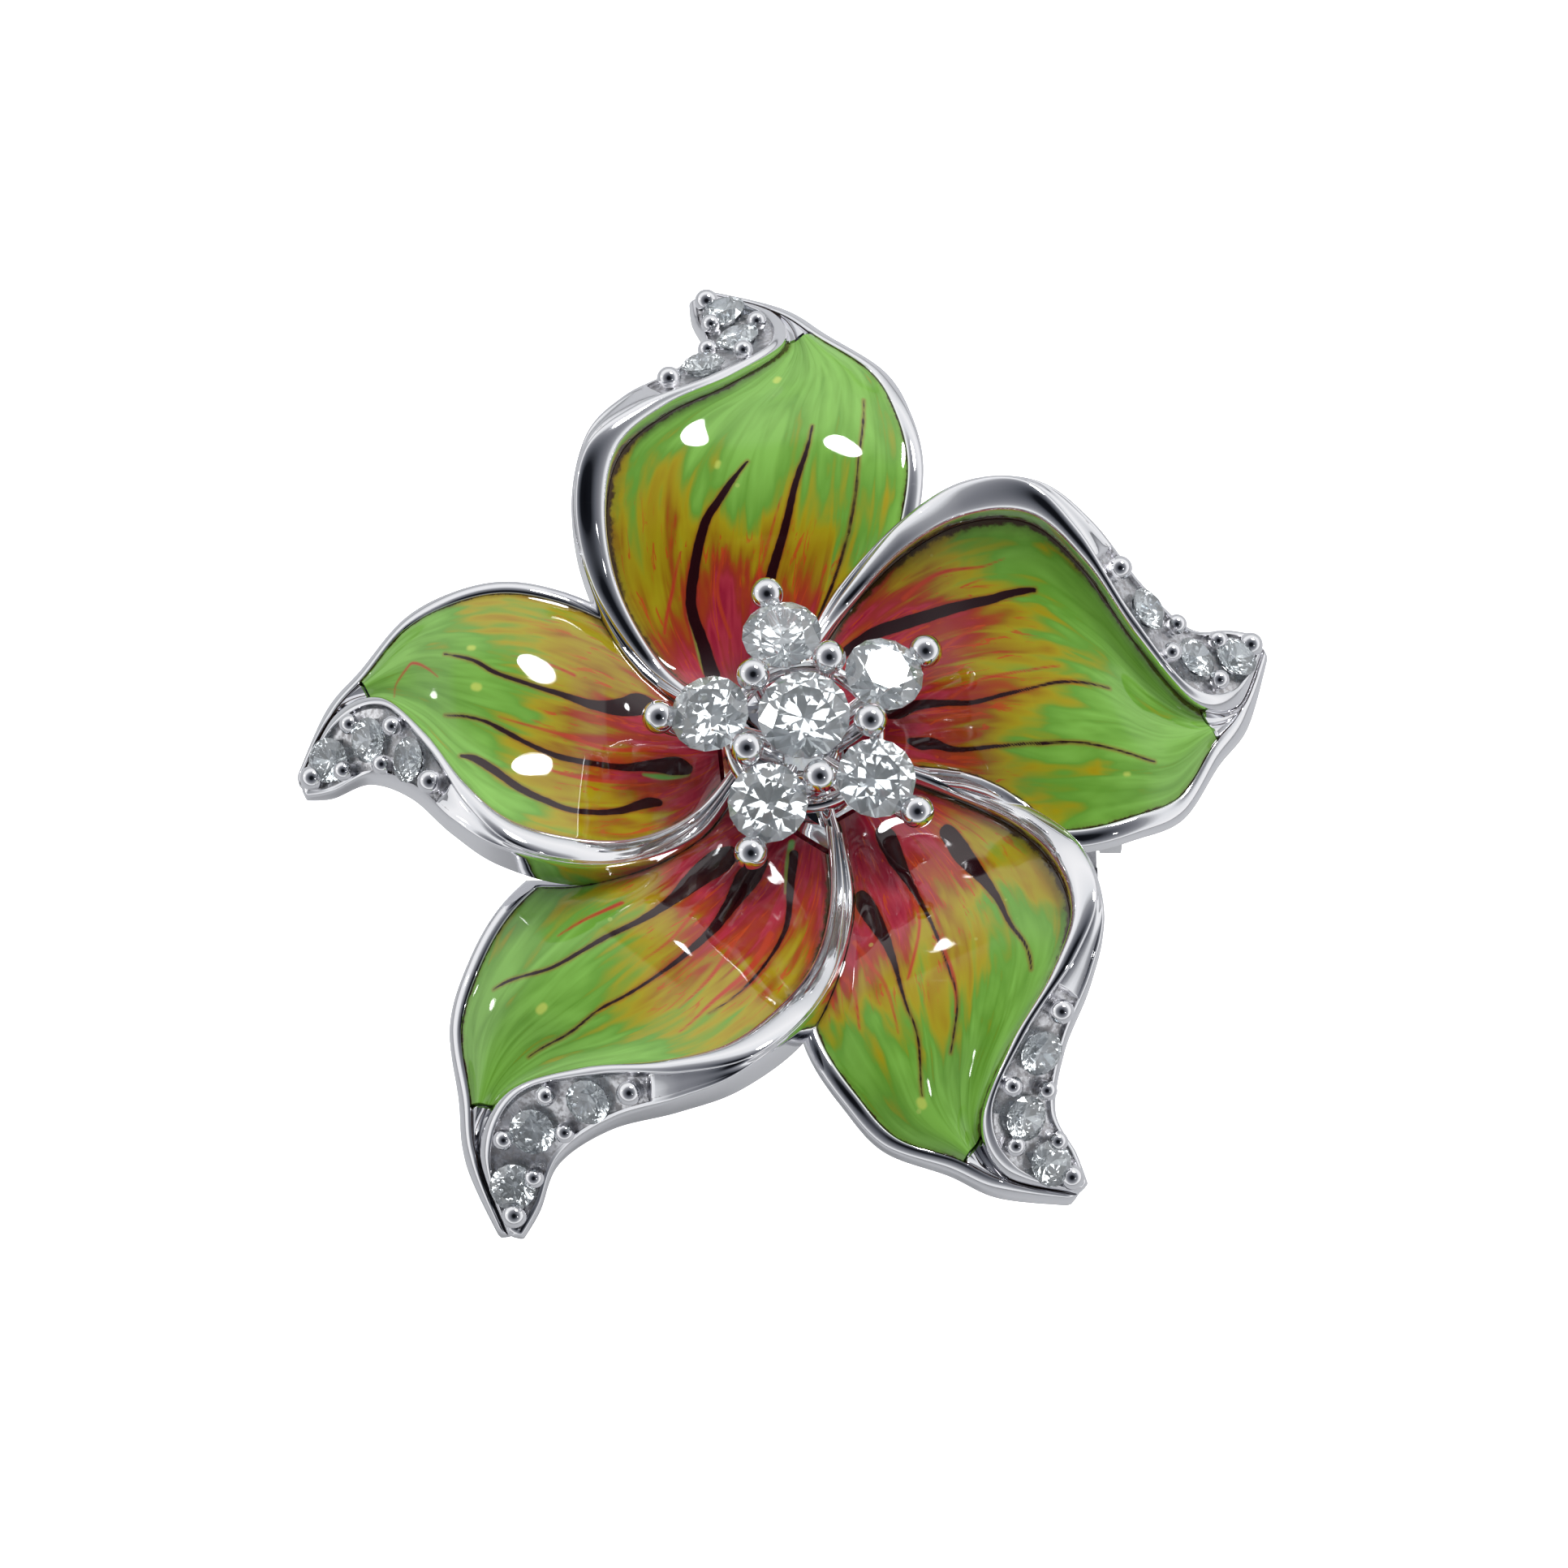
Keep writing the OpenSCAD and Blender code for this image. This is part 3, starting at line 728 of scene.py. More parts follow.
@dataclass(frozen=True)
class Brilliant:
    """A round stone with a table, eight stars, bezels and pavilion mains, sized by its radius.

    Attributes:
        radius: Radius of the girdle, in millimetres.
        table: Radius of the table, as a share of it.
        crown: Height of the crown, as a share of it.
        girdle: Half the girdle's thickness, as a share of it.
        pavilion: Depth of the pavilion, as a share of it.
    """

    radius: float
    table: float = 0.57
    crown: float = 0.34
    girdle: float = 0.03
    pavilion: float = 0.86

    def cut(self, centre: np.ndarray, axis: np.ndarray, spin: float) -> tuple[np.ndarray, list]:
        """Facets of one stone.

        Args:
            centre: Middle of the girdle.
            axis: Direction the table faces.
            spin: Turn about that axis, in degrees.

        Returns:
            The points and the faces.
        """
        eighth = np.radians(np.arange(8) * 45 + spin)
        half = eighth + math.radians(22.5)
        sixteenth = np.radians(np.arange(16) * 22.5 + spin)
        star_r, low_r = 0.78, 0.3
        star_z = self.crown - (self.crown - self.girdle) * (star_r * math.cos(math.radians(22.5)) - self.table) / (1 - self.table)
        low_z = -self.pavilion + (self.pavilion - self.girdle) * low_r * math.cos(math.radians(22.5))

        def ring(angles: np.ndarray, r: float, z: float) -> np.ndarray:
            """A ring of corners."""
            return np.stack([r * np.cos(angles), r * np.sin(angles), np.full(len(angles), z)], -1)

        points = np.vstack([
            ring(eighth, self.table, self.crown), ring(half, star_r, star_z), ring(sixteenth, 1, self.girdle),
            ring(sixteenth, 1, -self.girdle), ring(half, low_r, low_z), [[0, 0, -self.pavilion]],
        ]) * self.radius
        t, s, g, h, low, culet = 0, 8, 16, 32, 48, 56
        faces = [list(range(8))]
        for i in range(8):
            j, back = (i + 1) % 8, (i - 1) % 8
            faces += [[t + i, s + i, t + j], [t + i, s + back, g + 2 * i, s + i]]
            faces += [[s + i, g + 2 * i, g + 2 * i + 1], [s + i, g + 2 * i + 1, g + (2 * i + 2) % 16]]
            faces += [[low + i, h + 2 * i + 1, h + 2 * i], [low + i, h + (2 * i + 2) % 16, h + 2 * i + 1]]
            faces += [[culet, low + i, h + 2 * i, low + back]]
        faces += [[g + i, h + i, h + (i + 1) % 16, g + (i + 1) % 16] for i in range(16)]
        up = unit(np.asarray(axis, float))
        side = unit(np.cross([0.0, 1.0, 0.0], up))
        return points @ np.stack([side, np.cross(up, side), up]) + centre, faces


class Plan:
    """A geometry node tree with named inputs, run on one object."""

    def __init__(self, name: str, inputs: dict[str, tuple[str, object]]) -> None:
        """Starts the tree.

        Args:
            name: The tree's name.
            inputs: For each named input, its socket type and its value.
        """
        self.tree = bpy.data.node_groups.new(name, "GeometryNodeTree")
        self.tree.interface.new_socket("Geometry", in_out="INPUT", socket_type="NodeSocketGeometry")
        self.tree.interface.new_socket("Geometry", in_out="OUTPUT", socket_type="NodeSocketGeometry")
        self.values = {}
        for key, (kind, value) in inputs.items():
            socket = self.tree.interface.new_socket(key, in_out="INPUT", socket_type="NodeSocket" + kind)
            self.values[socket.identifier] = value
        self.sheet = Sheet(self.tree)
        self.inputs = self.sheet.add("NodeGroupInput").outputs

    def finish(self, geometry: object) -> None:
        """Ends the tree: real geometry, smooth, with its material."""
        s = self.sheet
        real = s.add("GeometryNodeRealizeInstances", {0: geometry})
        smooth = s.add("GeometryNodeSetShadeSmooth", {0: real})
        dressed = s.add("GeometryNodeSetMaterial", {0: smooth, "Material": self.inputs["Material"]})
        s.add("NodeGroupOutput", {0: dressed})

    def run(self, piece: bpy.types.Object) -> bpy.types.Object:
        """Runs the tree on an object and leaves a plain mesh."""
        mod = piece.modifiers.new("plan", "NODES")
        mod.node_group = self.tree
        for identifier, value in self.values.items():
            mod[identifier] = value
        Builder.apply(piece)
        return piece


@dataclass(frozen=True)
class BeadPlan:
    """Claws: on each point, a bead on a short tapered stem that stands along the point's aim.

    Attributes:
        bead: Radius of a bead of size 1, in millimetres.
        stem: Length of the stem below the bead's middle.
    """

    bead: float
    stem: float

    def build(self, name: str, at: np.ndarray, aim: np.ndarray, size: np.ndarray, metal: bpy.types.Material) -> bpy.types.Object:
        """Builds all the beads of one piece.

        Args:
            name: The piece's name.
            at: Middle of each bead, in millimetres.
            aim: Direction each bead points.
            size: Size of each bead.
            metal: Its material.

        Returns:
            The piece.
        """
        data = bpy.data.meshes.new(name)
        data.from_pydata((at * MM).tolist(), [], [])
        piece = bpy.data.objects.new(name, data)
        bpy.context.scene.collection.objects.link(piece)
        layer = data.attributes.new("aim", "FLOAT_VECTOR", "POINT")
        layer.data.foreach_set("vector", np.asarray(aim, np.float32).ravel())
        Builder.attribute(piece, "size", size)
        plan = Plan(name + "_plan", {"Bead": ("Float", self.bead * MM), "Stem": ("Float", self.stem * MM), "Material": ("Material", metal)})
        s, given = plan.sheet, plan.inputs
        ball = s.add("GeometryNodeMeshUVSphere", {"Segments": 32, "Rings": 20, "Radius": given["Bead"]})
        foot = s.math("MULTIPLY", given["Bead"], 0.9)
        neck = s.math("MULTIPLY", given["Bead"], 0.72)
        stem = s.add("GeometryNodeMeshCone", {"Vertices": 32, "Side Segments": 4, "Radius Top": neck, "Radius Bottom": foot, "Depth": given["Stem"]})
        drop = s.add("ShaderNodeCombineXYZ", {"Z": s.math("MULTIPLY", given["Stem"], -1.0)})
        lowered = s.add("GeometryNodeTransform", {0: stem.outputs["Mesh"], "Translation": drop})
        both = s.add("GeometryNodeJoinGeometry")
        for part in (lowered.outputs[0], ball.outputs["Mesh"]):
            s.tree.links.new(part, both.inputs[0])
        aim_of = s.add("GeometryNodeInputNamedAttribute", {"Name": "aim"}, data_type="FLOAT_VECTOR")
        size_of = s.add("GeometryNodeInputNamedAttribute", {"Name": "size"}, data_type="FLOAT")
        turn = s.add("FunctionNodeAlignRotationToVector", {"Vector": aim_of.outputs[0]}, axis="Z")
        on = s.add("GeometryNodeInstanceOnPoints", {"Instance": both, "Rotation": turn, "Scale": size_of.outputs[0]})
        s.tree.links.new(given["Geometry"], on.inputs["Points"])
        plan.finish(on)
        return plan.run(piece)


@dataclass(frozen=True)
class WirePlan:
    """Claw wires: a round wire along each line, with a ball on its last point.

    Attributes:
        wire: Radius of the wire, in millimetres.
        ball: Radius of the ball.
    """

    wire: float
    ball: float

    def build(self, name: str, lines: Sequence[np.ndarray], metal: bpy.types.Material) -> bpy.types.Object:
        """Builds all the wires of one piece.

        Args:
            name: The piece's name.
            lines: The points along each wire, in millimetres.
            metal: Its material.

        Returns:
            The piece.
        """
        points, edges = [], []
        for line in lines:
            base = len(points)
            points += (np.asarray(line) * MM).tolist()
            edges += [(base + i, base + i + 1) for i in range(len(line) - 1)]
        data = bpy.data.meshes.new(name)
        data.from_pydata(points, edges, [])
        piece = bpy.data.objects.new(name, data)
        bpy.context.scene.collection.objects.link(piece)
        plan = Plan(name + "_plan", {"Wire": ("Float", self.wire * MM), "Ball": ("Float", self.ball * MM), "Material": ("Material", metal)})
        s, given = plan.sheet, plan.inputs
        curve = s.add("GeometryNodeMeshToCurve", {0: given["Geometry"]})
        round_ = s.add("GeometryNodeCurvePrimitiveCircle", {"Resolution": 24, "Radius": given["Wire"]})
        wire = s.add("GeometryNodeCurveToMesh", {"Curve": curve, "Profile Curve": round_.outputs[0], "Fill Caps": True})
        ends = s.add("GeometryNodeCurveEndpointSelection", {"Start Size": 0, "End Size": 1})
        ball = s.add("GeometryNodeMeshUVSphere", {"Segments": 40, "Rings": 24, "Radius": given["Ball"]})
        on = s.add("GeometryNodeInstanceOnPoints", {"Instance": ball.outputs["Mesh"]})
        s.tree.links.new(curve.outputs[0], on.inputs["Points"])
        s.tree.links.new(ends.outputs[0], on.inputs["Selection"])
        both = s.add("GeometryNodeJoinGeometry")
        for part in (wire.outputs[0], on.outputs[0]):
            s.tree.links.new(part, both.inputs[0])
        plan.finish(both)
        return plan.run(piece)


class Paint(Enum):
    """Colours of the strokes drawn in the enamel, and the attribute that holds each."""

    DARK = "vein"
    ORANGE = "lick"
    GREEN = "moss"
    PALE = "speck"


@dataclass(frozen=True)
class Stroke:
    """One stroke drawn in the enamel.

    Attributes:
        paint: Its colour.
        path: Rows of (place along the petal, place across its full width, width in millimetres).
    """

    paint: Paint
    path: tuple

    def distance(self, form: PetalForm, points: np.ndarray) -> np.ndarray:
        """Distance of points from the stroke's edge, less than 0 inside it, in millimetres.

        Args:
            form: The petal.
            points: Places on the enamel.

        Returns:
            One distance for each point.
        """
        rows = along(np.array(self.path), np.linspace(0, 1, 6 * len(self.path)))
        t = form.enamel_from + (form.enamel_to - form.enamel_from) * rows[:, 0]
        line = form.enamel_place(rows[:, 0], np.clip(rows[:, 1] / form.share(t), 0, 1.2))
        half = np.maximum(rows[:, 2], 0.02) / 2
        best = np.full(len(points), 9.0)
        for a, b, wa, wb in zip(line[:-1], line[1:], half[:-1], half[1:]):
            d = b - a
            s = np.clip(((points - a) @ d) / max(d @ d, 1e-9), 0, 1)
            best = np.minimum(best, np.linalg.norm(points - a - s[:, None] * d, axis=1) - (wa + (wb - wa) * s))
        return best


@dataclass(frozen=True)
class Colouring:
    """Where one petal's colours change and what is drawn on it.

    Attributes:
        crimson_to: How far the crimson runs along the petal, at five places across it.
        orange_to: How far the orange runs.
        yellow_to: How far the yellow runs.
        strokes: The strokes drawn in the enamel.
    """

    crimson_to: tuple
    orange_to: tuple
    yellow_to: tuple
    strokes: tuple

    def heat(self, u: np.ndarray, across: np.ndarray) -> np.ndarray:
        """How far the colour has gone from green, 0, to crimson, 1."""
        at = np.clip((across - 0.1) / 0.8, 0, 1)
        one, two, three = (along(np.array(row), at) for row in (self.crimson_to, self.orange_to, self.yellow_to))
        stops = ((0 * u, 1.0), (one, 0.82), (two, 0.60), (three, 0.37), (three + 0.14, 0.15), (0 * u + 1.3, 0.0))
        heat = np.zeros_like(u)
        for (u0, h0), (u1, h1) in zip(stops[:-1], stops[1:]):
            s = (u - u0) / np.maximum(u1 - u0, 0.01)
            heat = np.where((s >= 0) & (s <= 1), h0 + (h1 - h0) * s, heat)
        return np.where(u <= 0, 1.0, heat)


def dark(*path: tuple) -> Stroke:
    """A dark vein."""
    return Stroke(Paint.DARK, path)


def lick(*path: tuple) -> Stroke:
    """An orange lick of colour."""
    return Stroke(Paint.ORANGE, path)


def moss(*path: tuple) -> Stroke:
    """A green thread inside a vein."""
    return Stroke(Paint.GREEN, path)


def speck(u: float, across: float, width: float = 0.3) -> Stroke:
    """A pale speck."""
    return Stroke(Paint.PALE, ((u, across, width), (u + 0.01, across, width)))


COLOURINGS = (
    Colouring((0.10, 0.22, 0.22, 0.15, 0.10), (0.22, 0.32, 0.30, 0.30, 0.15), (0.52, 0.42, 0.42, 0.42, 0.38), (
        dark((0.05, 0.26, 0.5), (0.12, 0.28, 0.42), (0.21, 0.27, 0.36), (0.30, 0.30, 0.34), (0.39, 0.33, 0.30),
             (0.44, 0.37, 0.24), (0.48, 0.40, 0.18), (0.53, 0.44, 0.06)),
        dark((0.24, 0.58, 0.36), (0.29, 0.59, 0.32), (0.39, 0.61, 0.26), (0.47, 0.62, 0.20), (0.55, 0.64, 0.13), (0.63, 0.645, 0.04)),
        dark((0.17, 0.82, 0.12), (0.26, 0.83, 0.10), (0.36, 0.83, 0.09), (0.45, 0.83, 0.08), (0.56, 0.83, 0.07), (0.72, 0.87, 0.04)),
        moss((0.06, 0.23, 0.18), (0.14, 0.25, 0.10), (0.2, 0.25, 0.04)),
        lick((0.16, 0.12, 0.10), (0.24, 0.20, 0.12), (0.33, 0.25, 0.06)),
        lick((0.14, 0.42, 0.10), (0.24, 0.38, 0.12), (0.34, 0.41, 0.06)),
        lick((0.26, 0.54, 0.06), (0.36, 0.56, 0.07), (0.44, 0.58, 0.04)),
        speck(0.52, 0.34, 0.2), speck(0.84, 0.3, 0.25),
    )),
    Colouring((0.15, 0.36, 0.20, 0.24, 0.12), (0.28, 0.42, 0.38, 0.32, 0.30), (0.38, 0.52, 0.56, 0.42, 0.44), (
        dark((0.05, 0.17, 0.30), (0.13, 0.19, 0.42), (0.21, 0.23, 0.44), (0.30, 0.25, 0.40), (0.40, 0.25, 0.32), (0.46, 0.23, 0.26), (0.52, 0.21, 0.16)),
        dark((0.10, 0.59, 0.30), (0.15, 0.60, 0.42), (0.20, 0.58, 0.34), (0.27, 0.59, 0.22), (0.33, 0.60, 0.16), (0.42, 0.57, 0.12),
             (0.51, 0.53, 0.10), (0.60, 0.50, 0.08), (0.69, 0.475, 0.05)),
        dark((0.165, 0.73, 0.20), (0.19, 0.74, 0.42), (0.22, 0.74, 0.36), (0.27, 0.76, 0.16), (0.37, 0.75, 0.12), (0.48, 0.73, 0.09),
             (0.61, 0.73, 0.07), (0.78, 0.78, 0.04)),
        moss((0.18, 0.735, 0.10), (0.21, 0.74, 0.13), (0.25, 0.75, 0.05)),
        lick((0.27, 0.58, 0.12), (0.34, 0.53, 0.10), (0.43, 0.50, 0.10), (0.55, 0.46, 0.07)),
        lick((0.22, 0.14, 0.16), (0.30, 0.12, 0.14), (0.40, 0.14, 0.08), (0.46, 0.12, 0.04)),
        lick((0.24, 0.42, 0.14), (0.32, 0.36, 0.12), (0.38, 0.34, 0.05)),
        speck(0.68, 0.84, 0.16),
    )),
    Colouring((0.06, 0.15, 0.30, 0.30, 0.38), (0.12, 0.30, 0.36, 0.46, 0.44), (0.44, 0.48, 0.62, 0.56, 0.50), (
        dark((0.08, 0.49, 0.40), (0.10, 0.49, 0.66), (0.17, 0.51, 0.56), (0.24, 0.51, 0.30), (0.34, 0.50, 0.13), (0.43, 0.49, 0.09),
             (0.51, 0.48, 0.07), (0.60, 0.47, 0.06), (0.72, 0.51, 0.04)),
        dark((0.15, 0.19, 0.30), (0.17, 0.21, 0.60), (0.24, 0.24, 0.66), (0.30, 0.24, 0.46), (0.38, 0.23, 0.22), (0.46, 0.22, 0.13),
             (0.53, 0.18, 0.09), (0.61, 0.14, 0.05)),
        dark((0.21, 0.73, 0.40), (0.24, 0.72, 0.60), (0.30, 0.70, 0.52), (0.37, 0.68, 0.32), (0.45, 0.67, 0.15), (0.54, 0.67, 0.08),
             (0.64, 0.66, 0.06), (0.79, 0.71, 0.04)),
        lick((0.26, 0.52, 0.14), (0.36, 0.54, 0.10), (0.46, 0.62, 0.10), (0.48, 0.64, 0.04)),
        lick((0.32, 0.80, 0.16), (0.40, 0.76, 0.14), (0.48, 0.72, 0.10), (0.60, 0.73, 0.04)),
        lick((0.40, 0.49, 0.12), (0.52, 0.47, 0.12), (0.62, 0.48, 0.05)),
        lick((0.34, 0.92, 0.12), (0.44, 0.84, 0.12), (0.54, 0.86, 0.05)),
        speck(0.80, 0.73, 0.32),
    )),
    Colouring((0.14, 0.22, 0.28, 0.22, 0.26), (0.28, 0.44, 0.40, 0.30, 0.32), (0.50, 0.60, 0.50, 0.38, 0.40), (
        dark((0.13, 0.66, 0.60), (0.16, 0.66, 0.95), (0.23, 0.65, 0.76), (0.30, 0.63, 0.42), (0.38, 0.63, 0.24), (0.47, 0.66, 0.16),
             (0.56, 0.69, 0.12), (0.62, 0.73, 0.10), (0.69, 0.84, 0.08), (0.72, 0.88, 0.05)),
        dark((0.10, 0.50, 0.50), (0.15, 0.49, 0.78), (0.22, 0.46, 0.50), (0.30, 0.43, 0.32), (0.38, 0.42, 0.20), (0.45, 0.42, 0.13),
             (0.54, 0.43, 0.10), (0.63, 0.44, 0.08), (0.74, 0.41, 0.07), (0.84, 0.41, 0.04)),
        dark((0.04, 0.33, 0.30), (0.12, 0.26, 0.24), (0.19, 0.20, 0.16), (0.29, 0.18, 0.10), (0.39, 0.17, 0.07), (0.47, 0.18, 0.04)),
        moss((0.02, 0.38, 0.20), (0.07, 0.34, 0.18), (0.13, 0.28, 0.05)),
        lick((0.23, 0.24, 0.22), (0.33, 0.21, 0.20), (0.44, 0.21, 0.14), (0.55, 0.18, 0.05)),
        lick((0.30, 0.33, 0.14), (0.40, 0.29, 0.12), (0.50, 0.27, 0.05)),
        lick((0.28, 0.54, 0.12), (0.38, 0.50, 0.10), (0.46, 0.50, 0.04)),
        lick((0.38, 0.74, 0.16), (0.44, 0.76, 0.14), (0.53, 0.79, 0.05)),
        speck(0.70, 0.61, 0.32),
    )),
    Colouring((0.10, 0.24, 0.20, 0.12, 0.06), (0.16, 0.38, 0.40, 0.24, 0.12), (0.45, 0.50, 0.50, 0.46, 0.62), (
        dark((0.17, 0.69, 0.40), (0.20, 0.67, 0.80), (0.24, 0.63, 0.66), (0.31, 0.60, 0.36), (0.42, 0.61, 0.16), (0.49, 0.62, 0.14),
             (0.57, 0.64, 0.13), (0.63, 0.68, 0.11), (0.72, 0.71, 0.05)),
        dark((0.09, 0.33, 0.40), (0.12, 0.36, 0.62), (0.18, 0.37, 0.40), (0.25, 0.36, 0.24), (0.32, 0.36, 0.20), (0.40, 0.36, 0.20),
             (0.47, 0.38, 0.16), (0.55, 0.41, 0.15), (0.61, 0.42, 0.10), (0.68, 0.40, 0.08), (0.74, 0.355, 0.05)),
        dark((0.17, 0.18, 0.30), (0.20, 0.19, 0.36), (0.28, 0.16, 0.22), (0.38, 0.15, 0.20), (0.44, 0.17, 0.24), (0.50, 0.19, 0.27),
             (0.57, 0.22, 0.28), (0.64, 0.22, 0.24), (0.69, 0.18, 0.12)),
        moss((0.09, 0.30, 0.20), (0.15, 0.31, 0.22), (0.20, 0.33, 0.08)),
        lick((0.92, 0.30, 0.03), (0.90, 0.49, 0.05), (0.85, 0.64, 0.08), (0.82, 0.66, 0.10), (0.75, 0.57, 0.03)),
        lick((0.22, 0.30, 0.14), (0.34, 0.29, 0.12), (0.48, 0.31, 0.05)),
        lick((0.14, 0.47, 0.16), (0.28, 0.43, 0.14), (0.40, 0.45, 0.12), (0.56, 0.46, 0.04)),
        lick((0.36, 0.70, 0.12), (0.44, 0.72, 0.08), (0.52, 0.72, 0.03)),
        speck(0.63, 0.74, 0.22), speck(0.62, 0.56, 0.3),
    )),
)


@dataclass
class Petal:
    """One petal: its silver casting, its enamel, and the stones and claws in its tip.

    Attributes:
        form: The petal's shape.
        stations: Sections along the casting.
        enamel_along: Sections along the enamel.
        enamel_across: Points across it.
        recess: Depth of the stone seat below its border, in millimetres.
        flange_from: Where the seat starts.
        flange_to: Where it ends.
        stone_r: Radius of each stone.
        stone_lift: Height of each stone's middle above the seat.
        bead_r: Radius of a claw bead.
        bead_lift: Height of each bead's middle above the seat.
        bead_side: Distance of paired beads from the middle, as a share of the seat's width.
        stones_at: Where the stones sit.
        beads_at: Where the claws sit, and on which side.
    """

    form: PetalForm
    stations: int = 150
    enamel_along: int = 220
    enamel_across: int = 128
    recess: float = 0.2
    flange_from: float = 0.6
    flange_to: float = 0.972
    stone_r: float = 0.75
    stone_lift: float = 0.1
    bead_r: float = 0.34
    bead_lift: float = 0.12
    bead_side: float = 0.3
    stones_at: tuple = (0.690, 0.795, 0.905)
    beads_at: tuple = ((0.625, 0), (0.742, -1), (0.742, 1), (0.850, -1), (0.850, 1), (0.955, 0))
    number: int = field(init=False)

    def __post_init__(self) -> None:
        """Numbers the petal from 1, as the CAD nodes are."""
        self.number = self.form.k + 1

    def _rings(self) -> tuple[np.ndarray, np.ndarray, np.ndarray]:
        """Sections of the casting.

        Returns:
            The rings, and for each point how grimy and how grainy it is.
        """
        f = self.form
        edge = np.array([-0.004, -0.002, 0.0, 0.002, 0.004])
        t = np.unique(np.concatenate([np.linspace(0, 1, self.stations), self.flange_from + edge, self.flange_to + edge, f.enamel_to + edge]))
        c = f.cut(t)
        o, wall, hole = along(OUTER, t), along(WALL_OUT, t), smoothstep(f.enamel_from - 0.01, f.enamel_from, t) * (1 - smoothstep(f.enamel_to, f.enamel_to + 0.006, t))
        dip = self.recess * smoothstep(self.flange_from - 0.004, self.flange_from + 0.004, t) * (1 - smoothstep(self.flange_to - 0.004, self.flange_to + 0.004, t))
        foot = c.crest - c.e * (c.w * 0.5)[:, None]
        inward, width = unit(foot - o), np.linalg.norm(foot - o, axis=-1)
        rows, nook, seat = [], [], []

        def put(p: np.ndarray, dirty: float = 0.0, grainy: float = 0.0) -> None:
            """Adds one point to every ring."""
            rows.append(p)
            nook.append(np.full(len(t), dirty))
            seat.append(np.full(len(t), grainy) * (dip / self.recess))

        def outer(inwards: float, down: np.ndarray | float, share: float = 1.0) -> np.ndarray:
            """Points a distance in from the outer edge and down from it."""
            step = np.minimum(inwards, share * width)
            return o + inward * step[:, None] - UP * np.broadcast_to(down, t.shape)[:, None]

        put(outer(0.12, wall))
        put(outer(0.02, wall - 0.05))
        put(outer(0.0, wall - 0.16))
        put(outer(-0.03, wall * 0.6))
        put(outer(-0.02, wall * 0.3 + 0.05))
        put(outer(0.0, 0.16))
        put(outer(0.015, 0.07))
        put(outer(0.06, 0.015, 0.2))
        put(outer(0.12, 0.0, 0.35))
        put(outer(0.19, 0.01, 0.5), 0.1)
        put(outer(0.24, 0.03 + dip * 0.5, 0.56), 0.3, 0.6)
        put(outer(0.27, 0.04 + dip, 0.6), 0.5, 1.0)
        for s in (0.25, 0.5, 0.75):
            put(foot - inward * (np.maximum(width - 0.37, 0.3 * width) * (1 - s) + 0.1 * s)[:, None] - UP * (0.04 + dip)[:, None], 0.1, 1.0)
        put(foot - inward * np.minimum(0.06, 0.12 * width)[:, None] - UP * (0.06 + dip)[:, None], 0.5, 1.0)
        for angle in np.radians(np.linspace(180, 90, 8)):
            put(c.crest + c.e * (c.w * 0.5 * math.cos(angle))[:, None] + UP * (-0.08 + 0.16 * math.sin(angle)))
        for angle in np.radians(np.linspace(78, 0, 7)):
            put(c.crest + c.e * (c.w * 0.5 * math.cos(angle))[:, None] + UP * (-0.16 + 0.24 * math.sin(angle)))
        lip = c.crest + c.e * (c.w * 0.5)[:, None]
        for share, dirty in ((0.3, 0.0), (0.6, 0.15), (0.75, 0.45), (0.88, 0.9), (1.0, 1.0)):
            put(lip - UP * (0.16 + (c.deep - 0.16) * share)[:, None], dirty)
        sunk = UP * (0.03 + (f.enamel_t - 0.03) * hole)[:, None]
        for v in (0.0, 0.15, 0.35, 0.55, 0.75, 0.9, 1.0):
            put(f.bed(c, v) - sunk, 0.25)
        put(f.bed(c, 1.0) + UP * 0.0, 1.0)
        for angle in np.radians(np.linspace(170, 0, 9)):
            put(c.edge - c.e * (c.r * 0.5 * (1 - math.cos(angle)))[:, None] + UP * (-0.07 + 0.15 * math.sin(angle)), 0.35 if angle > 2.8 else 0.0)
        for down in (0.2, 0.42, 0.62):
            put(c.edge - UP * down)
        put(c.edge - UP * 0.72 - c.e * 0.04)
        under = UP * (f.enamel_t + f.floor_t)
        put(c.edge - UP * 0.76 - c.e * 0.12)
        for v in (0.85, 0.7, 0.55, 0.4, 0.25, 0.12):
            put(f.bed(c, v) - under)
        put(outer(0.3, wall + 0.02))
        rings = np.stack(rows, 1)
        middle = rings.mean(1, keepdims=True)
        close = np.sqrt(np.clip(1 - ((t - 0.985) / 0.015).clip(0) ** 2 * 0.85, 0, 1))
        rings = middle + (rings - middle) * close[:, None, None]
        return f.placed(rings), np.stack(nook, 1), np.stack(seat, 1)

    def casting(self, metal: bpy.types.Material) -> None:
        """Builds the silver casting, with a hole under each stone."""
        rings, nook, seat = self._rings()
        piece = Builder.mesh(f"casting_{self.number}", *Builder.skin(rings), smooth=None)
        Builder.attribute(piece, "nook", nook)
        Builder.attribute(piece, "seat", seat)
        at, up = self._stone_places()
        holes = []
        for p, n in zip(at, up):
            cone, faces = Builder.lathe([(-1.4, 0.16), (-0.08, 0.62), (0.5, 0.66)], (0, 0, 0), "z", 40)
            side = unit(np.cross([0.0, 1.0, 0.0], n))
            holes.append((cone @ np.stack([side, np.cross(n, side), n]) + p, faces))
        cutter = Builder.mesh("holes", *Builder.merged(holes), smooth=None)
        Builder.cut_away(piece, cutter)
        Builder.soften(piece, 42)
        place(piece, Body.FLOWER, metal, [f"petal_{self.number}"])

